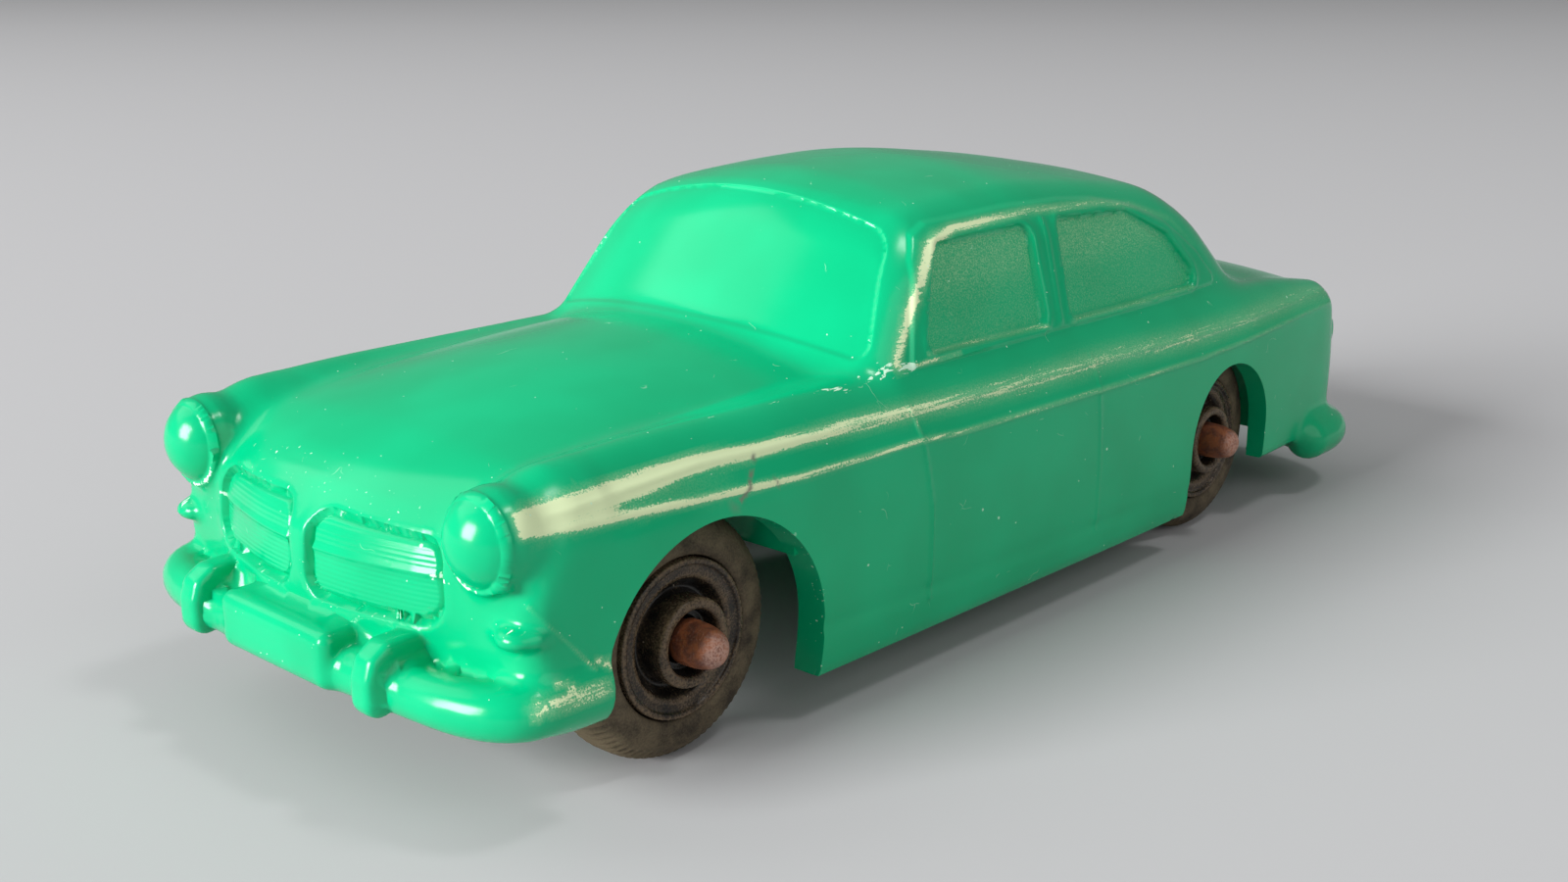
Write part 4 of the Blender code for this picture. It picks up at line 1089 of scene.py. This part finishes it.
def trim_paint_and_sheen(x, y, z):
    """How much pale paint is left, from 0 to 1, raised towards the front as a painted sheen."""
    s = np.abs(y)
    beside = fade(s, 16, 16.9) * fade(-z, -20.6, -20.2)
    # The strengths fall from the front fender to the tail: worn paint, and a painted sheen where
    # the light falls on the front.
    level = along_x((-48, 0.2), (-25, 0.45), (0, 0.6), (14, 0.8), (26, 1), (47, 1), (47.8, 0.3))(x)
    width = along_x((-30, 0.16), (20, 0.17), (33, 0.24), (42, 0.32))(x)
    paint = ridge(line_distance(x, z, LOWER_TRIM), level, width)
    width = along_x(
        (-45, 0.9), (-7, 0.75), (8, 0.6), (20, 0.48), (28, 0.4), (33, 0.5), (38, 0.6), (45, 0.75)
    )(x)
    band_level = along_x(
        (-48, 0.3), (-25, 0.44), (-7, 0.5), (8, 0.58), (16, 0.7), (25, 0.85), (30, 1), (47, 1)
    )(x)
    band = band_level * np.exp(-(np.abs((z - BAND_Z(x)) / width) ** (2 + 2 * fade(x, 18, 32))))
    between = fade(z, LOW_Z(x) - 0.05, LOW_Z(x) + 0.2) * fade(-z, -BAND_Z(x) - 0.2, -BAND_Z(x))
    fill = along_x((30.5, 0), (33, 0.1), (39.5, 0.25), (41.5, 0.85), (46.5, 0.9))(x) * between
    off_lamp = fade(np.hypot(s - LAMP[0], z - LAMP[1]), 2.8, 3.0) + fade(-x, -46.4, -45.9)
    ragged_end = fade(-x, -47.6, -46.9) * np.minimum(off_lamp, 1)
    door = ridge(line_distance(x, z, DOOR_FRONT), 0.7, 0.13) * fade(z, 17, 18.3)
    paint = np.maximum.reduce([paint, band, fill, door]) * beside * ragged_end
    frame = along_x(
        (-26, 0.05), (-20, 0.25), (-13, 0.42), (-3, 0.6), (4, 0.85), (8, 1), (12, 0.95), (14, 0.8)
    )(x)
    width = along_x((-10, 0.26), (6, 0.3), (9, 0.42), (14, 0.34))(x)
    glazed = fade(z, 20.9, 21.3) * fade(s, 12.4, 13)
    pillar = ridge(line_distance(x, z, PILLAR_LINE), frame, width)
    pillar *= 1 - 0.7 * ridge(line_distance(x, z, [(13.4, 21.3), (10.4, 26.2)]), 1, 0.09)
    paint = np.maximum(paint, pillar * glazed)
    for path, strength, reach in (
        ([(14.2, 21.2), (7.6, 21.3)], 0.75, 0.14), ([(11, 21.75), (-2.9, 21.5)], 0.5, 0.12),
        ([(-6, 21.4), (-24, 21.3)], 0.36, 0.14),
    ):
        belt = ridge(line_distance(x, z, path), strength, reach) * fade(s, 15.6, 16.2)
        paint = np.maximum(paint, belt)
    for path, strength, reach in (
        ([(47.5, 19.1, 8.6), (45.2, 19.5, 8.6), (42.8, 19.6, 8.6)], 1.0, 0.36),
        ([(45.8, 18.8, 9.5), (44.9, 19.1, 9.15)], 0.75, 0.2),
        ([(42.9, 18.8, 10.0), (41.9, 19.1, 9.35)], 0.8, 0.2),
        ([(24.6, 19.0, 3.1), (2.0, 19.0, 3.1)], 0.55, 0.14),
        (FLASH_LINE, 0.85, 0.08),
    ):
        paint = np.maximum(paint, ridge(space_distance(x, s, z, path), strength, reach))
    return np.clip(paint, 0, 1)


def chip_and_glint_marks(x, y, z):
    """How thickly small white chips lie, from 0 to 1; on the fender crest and the headlamp rim they
    are also a painted highlight.
    """
    s = np.abs(y)
    top = fade(z, 20.2, 20.5) * fade(-z, -22, -21.6) * fade(s, 14, 14.5)
    level = along_x((10, 0.9), (22, 0.9), (24, 0.5), (32, 0.2))(x)
    width = along_x((10, 0.3), (22, 0.22), (26, 0.08))(x)
    # Along the top of the fender crest: chips, and also a painted highlight where the crest catches
    # the light.
    crest = ridge(line_distance(x, s, CREST_CHIPS), top * level, width)
    lip = fade(x, 45.8, 46.8) * fade(z, 16.7, 17.2) * fade(-s, -11, -9)
    # On the lower inner arc of the headlamp rim: chips, and also painted highlights.
    rim = ridge(np.hypot(s - LAMP[0], z - LAMP[1]) - 2.8, 1, 0.16) * fade(x, 47.6, 47.9)
    inner = fade(14.9 - s, -1.4, 0.8) * fade(LAMP[1] - z, 0, 1.5)
    nose = fade(x, 46, 46.6)
    opening = nose * ridge(grille_distance(y, z) - 0.1, 0.2, 0.1)
    bar_end = nose * ridge(line_distance(s, z, [(10.9, 14.4), (12, 14.5)]), 0.9, 0.2)
    side_lamp = ridge(np.hypot((s - 17.2) / 1.5, z - 12.7), 0.6, 0.3) * fade(x, 46.4, 46.8)
    _, axle_x, setback, radius, top_z = WHEELS[0]
    arch = np.hypot(x - axle_x + setback, np.maximum(z - (top_z - radius), 0)) - radius
    arch = 0.18 * ridge(arch, 1, 0.16) * (s > 18) * (x < 34)
    post = line_distance(x, z, [(-3.3, 21.6), (-3.2, 28.6)])
    post = 0.3 * ridge(post, 1, 0.15) * (s > 13) * (z > 21)
    layers = [crest, 0.1 * lip, 0.95 * rim * inner, opening, bar_end, side_lamp, arch, post]
    return np.maximum.reduce(layers)


x, y, z = points_of(body).T
on_skin = fade(plain_skin(x.copy(), y.copy(), z.copy()), -1.1, -0.8)
mark(body, "paint", trim_paint_and_sheen(x, y, z) * on_skin)
mark(body, "chips", chip_and_glint_marks(x, y, z) * on_skin)
haze = fade(-pane_distance(x, z), 0.1, 0.4) * (0.4 + 0.6 * fade(z, 24, 27)) * (np.abs(y) > 12)
mark(body, "haze", haze * on_skin)
openings = fade(-grille_distance(y, z), 0.45, 0.7) * (x > 44)
mark(body, "ribs", openings * (1 - ridge(line_distance(np.abs(y), z, GRILLE_BAR), 1, 0.22)))
scuff = ridge(line_distance(x, z, [(29.4, 18.9), (30.5, 17.3), (32.0, 16.2)]), 1, 0.13)
scuff = np.maximum(scuff, ridge(line_distance(x, z, [(28.3, 17.4), (28.1, 16.8)]), 0.8, 0.08))
mark(body, "scuff", scuff * (y > 16) * on_skin)
print("paint covers", round(float((trim_paint_and_sheen(x, y, z) > 0.5).mean() * 100), 1), "% of the points")

# %% [markdown]
# ## Finishes
#
# Every finish is worked out from each point's own place on the piece, so it turns with the
# wheel and shows the same from all sides. A few helpers keep the node trees short. The speck,
# scratch and dust patterns are node groups, because several finishes share them.


# %% Helpers for node trees
def feed(tree, value, socket):
    """Joins a node's output to a socket, or sets the socket to a plain value."""
    if isinstance(value, bpy.types.NodeSocket):
        tree.links.new(value, socket)
    else:
        socket.default_value = value


def node(tree, kind, inputs=None, **settings):
    """Adds a node, sets it up and joins or fills its inputs."""
    made = tree.nodes.new(kind)
    for key, value in settings.items():
        setattr(made, key, value)
    for key, value in (inputs or {}).items():
        feed(tree, value, made.inputs[key])
    return made


def maths(tree, operation, a, b=0.0, clamp=False):
    """One step of arithmetic."""
    made = node(tree, "ShaderNodeMath", {0: a, 1: b}, operation=operation, use_clamp=clamp)
    return made.outputs[0]


def times(tree, a, b):
    """One number multiplied by another."""
    return maths(tree, "MULTIPLY", a, b)


def plus(tree, total, *others):
    """The sum of two or more numbers."""
    for other in others:
        total = maths(tree, "ADD", total, other)
    return total


def rise(tree, value, low, high, bottom=0.0, top=1.0):
    """A smooth step between two levels."""
    settings = {"Value": value, "From Min": low, "From Max": high, "To Min": bottom, "To Max": top}
    return node(tree, "ShaderNodeMapRange", settings, interpolation_type="SMOOTHSTEP").outputs[0]


def blend(tree, factor, a, b):
    """A colour between two colours."""
    made = node(tree, "ShaderNodeMix", data_type="RGBA")
    for key, value in ((0, factor), (6, a), (7, b)):
        feed(tree, value, made.inputs[key])
    return made.outputs[2]


def millimetres(tree, stretch=(1, 1, 1)):
    """Each point's place in mm, squeezed along the axes if need be."""
    place = node(tree, "ShaderNodeTexCoord").outputs["Object"]
    scale = [c / MM for c in stretch]
    return node(tree, "ShaderNodeMapping", {"Vector": place, "Scale": scale}).outputs[0]


def noise(tree, vector, scale, detail=3.0, distortion=0.0):
    """Cloudy noise, about 0.5 on average."""
    settings = {"Vector": vector, "Scale": scale, "Detail": detail, "Distortion": distortion}
    return node(tree, "ShaderNodeTexNoise", settings).outputs["Fac"]


def stored(tree, name):
    """A number stored on the piece's points."""
    return node(tree, "ShaderNodeAttribute", attribute_name=name).outputs["Fac"]


def group(name, inputs, outputs):
    """A new node group with number inputs and outputs."""
    tree = bpy.data.node_groups.new(name, "ShaderNodeTree")
    for label, start in inputs:
        socket = tree.interface.new_socket(label, in_out="INPUT", socket_type="NodeSocketFloat")
        socket.default_value = start
    for label in outputs:
        tree.interface.new_socket(label, in_out="OUTPUT", socket_type="NodeSocketFloat")
    return tree, node(tree, "NodeGroupInput").outputs, node(tree, "NodeGroupOutput").inputs


def use(tree, shared, inputs=None):
    """Adds a shared node group to a tree."""
    return node(tree, "ShaderNodeGroup", inputs, node_tree=shared).outputs


# %% Shared patterns
inputs = [("Per mm", 1.0), ("Size", 0.08), ("Share", 0.3)]
specks, given, result = group("dust_specks", inputs, ["Specks"])
warp = noise(specks, millimetres(specks), 3.0, 2.0)
shift = {0: millimetres(specks), 1: times(specks, warp, 0.25)}
place = node(specks, "ShaderNodeVectorMath", shift, operation="ADD")
cell = node(specks, "ShaderNodeTexVoronoi", {"Vector": place.outputs[0], "Scale": given["Per mm"]})
chance = node(specks, "ShaderNodeSeparateColor", {0: cell.outputs["Color"]}).outputs
near = maths(specks, "DIVIDE", cell.outputs["Distance"], given["Per mm"])
size = times(specks, given["Size"], plus(specks, chance[1], 0.3))
inside = maths(specks, "LESS_THAN", near, size)
chosen = maths(specks, "LESS_THAN", chance[0], given["Share"])
specks.links.new(times(specks, inside, chosen), result["Specks"])

hairs, given, result = group("hair_scratches", [("Per mm", 0.25), ("Share", 0.5)], ["Hairs"])
soft = {"Vector": millimetres(hairs), "Scale": 0.35, "Detail": 2.0}
warp = node(hairs, "ShaderNodeTexNoise", soft)
shift = {0: warp.outputs["Color"], 1: (5, 5, 5), 2: millimetres(hairs)}
bent = node(hairs, "ShaderNodeVectorMath", shift, operation="MULTIPLY_ADD")
cells = {"Vector": bent.outputs[0], "Scale": given["Per mm"]}
net = node(hairs, "ShaderNodeTexVoronoi", cells, feature="DISTANCE_TO_EDGE")
thin = maths(hairs, "DIVIDE", net.outputs["Distance"], given["Per mm"])
line = maths(hairs, "LESS_THAN", thin, 0.02)
broken = rise(hairs, noise(hairs, millimetres(hairs), 0.5, 1.0), 0.66, 0.72)
pieces = times(hairs, line, broken)
hairs.links.new(times(hairs, pieces, given["Share"]), result["Hairs"])

grime, given, result = group("settled_dust", [("Amount", 0.5)], ["Dust", "Grain"])
cloud = noise(grime, millimetres(grime), 0.55, 5.0, 0.4)
grain = noise(grime, millimetres(grime), 7.0, 3.0)
sum_up = plus(grime, cloud, times(grime, grain, 0.5))
level = maths(grime, "SUBTRACT", plus(grime, sum_up, given["Amount"]), 1.25)
grime.links.new(rise(grime, level, -0.25, 0.45), result["Dust"])
grime.links.new(grain, result["Grain"])


# %% Green plastic with worn pale paint, a painted sheen and painted highlights
def material(name):
    """A new material, its tree and its Principled shader."""
    made = bpy.data.materials.new(name)
    made.use_nodes = True
    tree = made.node_tree
    return made, tree, tree.nodes["Principled BSDF"]


def speckled(tree, colour, tint, strength, pattern):
    """A colour with small flecks of another."""
    dots = use(tree, specks, pattern)[0]
    return blend(tree, times(tree, dots, strength), colour, tint)


def bumps(tree, height, strength, depth):
    """A surface normal from a height, with its depth in mm."""
    settings = {"Strength": strength, "Distance": depth * MM, "Height": height}
    return node(tree, "ShaderNodeBump", settings).outputs[0]


def connect(tree, shader, **sockets):
    """Joins values to the shader's inputs; underscores stand for spaces."""
    for key, value in sockets.items():
        tree.links.new(value, shader.inputs[key.replace("_", " ")])


RIB_PITCH = 0.30
green, tree, shader = material("green_plastic")
shader.inputs["IOR"].default_value = 1.46
shader.inputs["Specular IOR Level"].default_value = 0.36
# The stored amount is worn paint together with a painted sheen at the front; it makes the pale
# film.
paint = stored(tree, "paint")
streak = noise(tree, millimetres(tree, (0.22, 3.2, 5.0)), 1.0, 4.0, 0.2)
fine = noise(tree, millimetres(tree), 9.0, 2.0)
ragged = plus(tree, times(tree, streak, 0.55), times(tree, fine, 0.45))
uneven = times(tree, maths(tree, "SUBTRACT", ragged, 0.5), 2.0)
cover = plus(tree, paint, uneven)
cover = times(tree, rise(tree, cover, 0.4, 0.72), rise(tree, paint, 0.03, 0.2))
veil = times(tree, paint, rise(tree, fine, 0.3, 0.7, 0.2, 0.6))
cover = maths(tree, "MAXIMUM", cover, veil)
haze = times(tree, stored(tree, "haze"), rise(tree, fine, 0.4, 0.7, 0.06, 0.34))
film_and_sheen = maths(tree, "MAXIMUM", cover, haze)
tone = rise(tree, noise(tree, millimetres(tree), 0.12, 2.0), 0.3, 0.7)
deep = blend(tree, tone, (0.0, 0.40, 0.165, 1), (0.0, 0.45, 0.19, 1))
# Pale trim colour: worn paint and painted sheen.
trim_and_sheen_colour = blend(tree, times(tree, film_and_sheen, 0.92), deep, (0.80, 0.90, 0.54, 1))
trim_and_sheen_colour = blend(tree, stored(tree, "scuff"), trim_and_sheen_colour, (0.20, 0.22, 0.16, 1))
dots = use(tree, specks, {"Per mm": 0.5, "Size": 0.1, "Share": 0.3})[0]
small = use(tree, specks, {"Per mm": 1.3, "Size": 0.05, "Share": 0.25})[0]
# White chips, with painted highlights on the fender crest and the headlamp rim.
chips = stored(tree, "chips")
flakes_and_glints = noise(tree, millimetres(tree, (0.35, 1.5, 1.5)), 2.4, 3.0, 0.4)
flakes_and_glints = plus(tree, flakes_and_glints, times(tree, chips, 0.36))
flakes_and_glints = times(tree, rise(tree, flakes_and_glints, 0.72, 0.78), rise(tree, chips, 0.03, 0.1))
lint = use(tree, hairs, {"Per mm": 0.16, "Share": 0.3})[0]
dots = times(tree, maths(tree, "MAXIMUM", dots, small), 0.75)
white = maths(tree, "MAXIMUM", flakes_and_glints, dots)
white = maths(tree, "MAXIMUM", white, lint, clamp=True)
colour = blend(tree, white, trim_and_sheen_colour, (0.62, 0.92, 0.70, 1))
rough = rise(tree, maths(tree, "MAXIMUM", film_and_sheen, white), 0.0, 1.0, 0.19, 0.5)
along = node(tree, "ShaderNodeSeparateXYZ", {0: millimetres(tree)}).outputs
wave = maths(tree, "COSINE", times(tree, along[2], 2 * math.pi / RIB_PITCH))
rib = times(tree, plus(tree, wave, 1), stored(tree, "ribs"))
layers = ((rib, 0.2), (fine, 0.03), (white, 0.4), (film_and_sheen, 0.12))
height = plus(tree, *(times(tree, layer, depth) for layer, depth in layers))
connect(tree, shader, Base_Color=colour, Roughness=rough, Normal=bumps(tree, height, 0.6, 0.05))
body.data.materials.clear()
body.data.materials.append(green)

# %% Black plastic, rubber and rust
black, tree, shader = material("black_plastic")
shader.inputs["Specular IOR Level"].default_value = 0.28
wear = stored(tree, "wear")
dust = use(tree, grime, {"Amount": plus(tree, times(tree, wear, 0.5), 0.35)})
dirt = times(tree, dust[0], rise(tree, dust[1], 0.3, 0.7, 0.35, 1.0))
colour = blend(tree, dirt, (0.010, 0.009, 0.008, 1), (0.17, 0.115, 0.065, 1))
pattern = {"Per mm": 1.6, "Size": 0.05, "Share": 0.35}
colour = speckled(tree, colour, (0.45, 0.38, 0.28, 1), 0.6, pattern)
rough = rise(tree, dirt, 0, 1, 0.18, 0.48)
connect(tree, shader, Base_Color=colour, Roughness=rough, Normal=bumps(tree, dust[1], 0.5, 0.012))

rubber, tree, shader = material("tyre_rubber")
shader.inputs["Roughness"].default_value = 0.72
shader.inputs["Specular IOR Level"].default_value = 0.25
tread = stored(tree, "tread")
dust = use(tree, grime, {"Amount": plus(tree, times(tree, tread, 0.5), 0.6)})
colour = blend(tree, times(tree, dust[0], 0.85), (0.022, 0.016, 0.011, 1), (0.16, 0.125, 0.075, 1))
pattern = {"Per mm": 1.1, "Size": 0.07, "Share": 0.3}
colour = speckled(tree, colour, (0.40, 0.34, 0.26, 1), 0.5, pattern)
connect(tree, shader, Base_Color=colour, Normal=bumps(tree, dust[1], 0.7, 0.06))

rust, tree, shader = material("rusty_steel")
shader.inputs["Metallic"].default_value = 0.25
patches = noise(tree, millimetres(tree), 1.3, 5.0, 0.5)
pits = noise(tree, millimetres(tree), 7.0, 3.0)
colour = blend(tree, rise(tree, patches, 0.35, 0.65), (0.15, 0.05, 0.03, 1), (0.33, 0.10, 0.035, 1))
colour = blend(tree, rise(tree, pits, 0.55, 0.75, 0, 0.5), colour, (0.32, 0.17, 0.13, 1))
bare = times(tree, stored(tree, "tip"), rise(tree, pits, 0.35, 0.6, 0.2, 0.75))
colour = blend(tree, bare, colour, (0.55, 0.34, 0.27, 1))
rough = rise(tree, patches, 0.3, 0.7, 0.42, 0.62)
connect(tree, shader, Base_Color=colour, Roughness=rough, Normal=bumps(tree, pits, 0.8, 0.08))
for piece in wheel_pieces:
    kind = {"hub": black, "tyre": rubber}.get(piece.name.split("_")[0], rust)
    piece.data.materials.clear()
    piece.data.materials.append(kind)
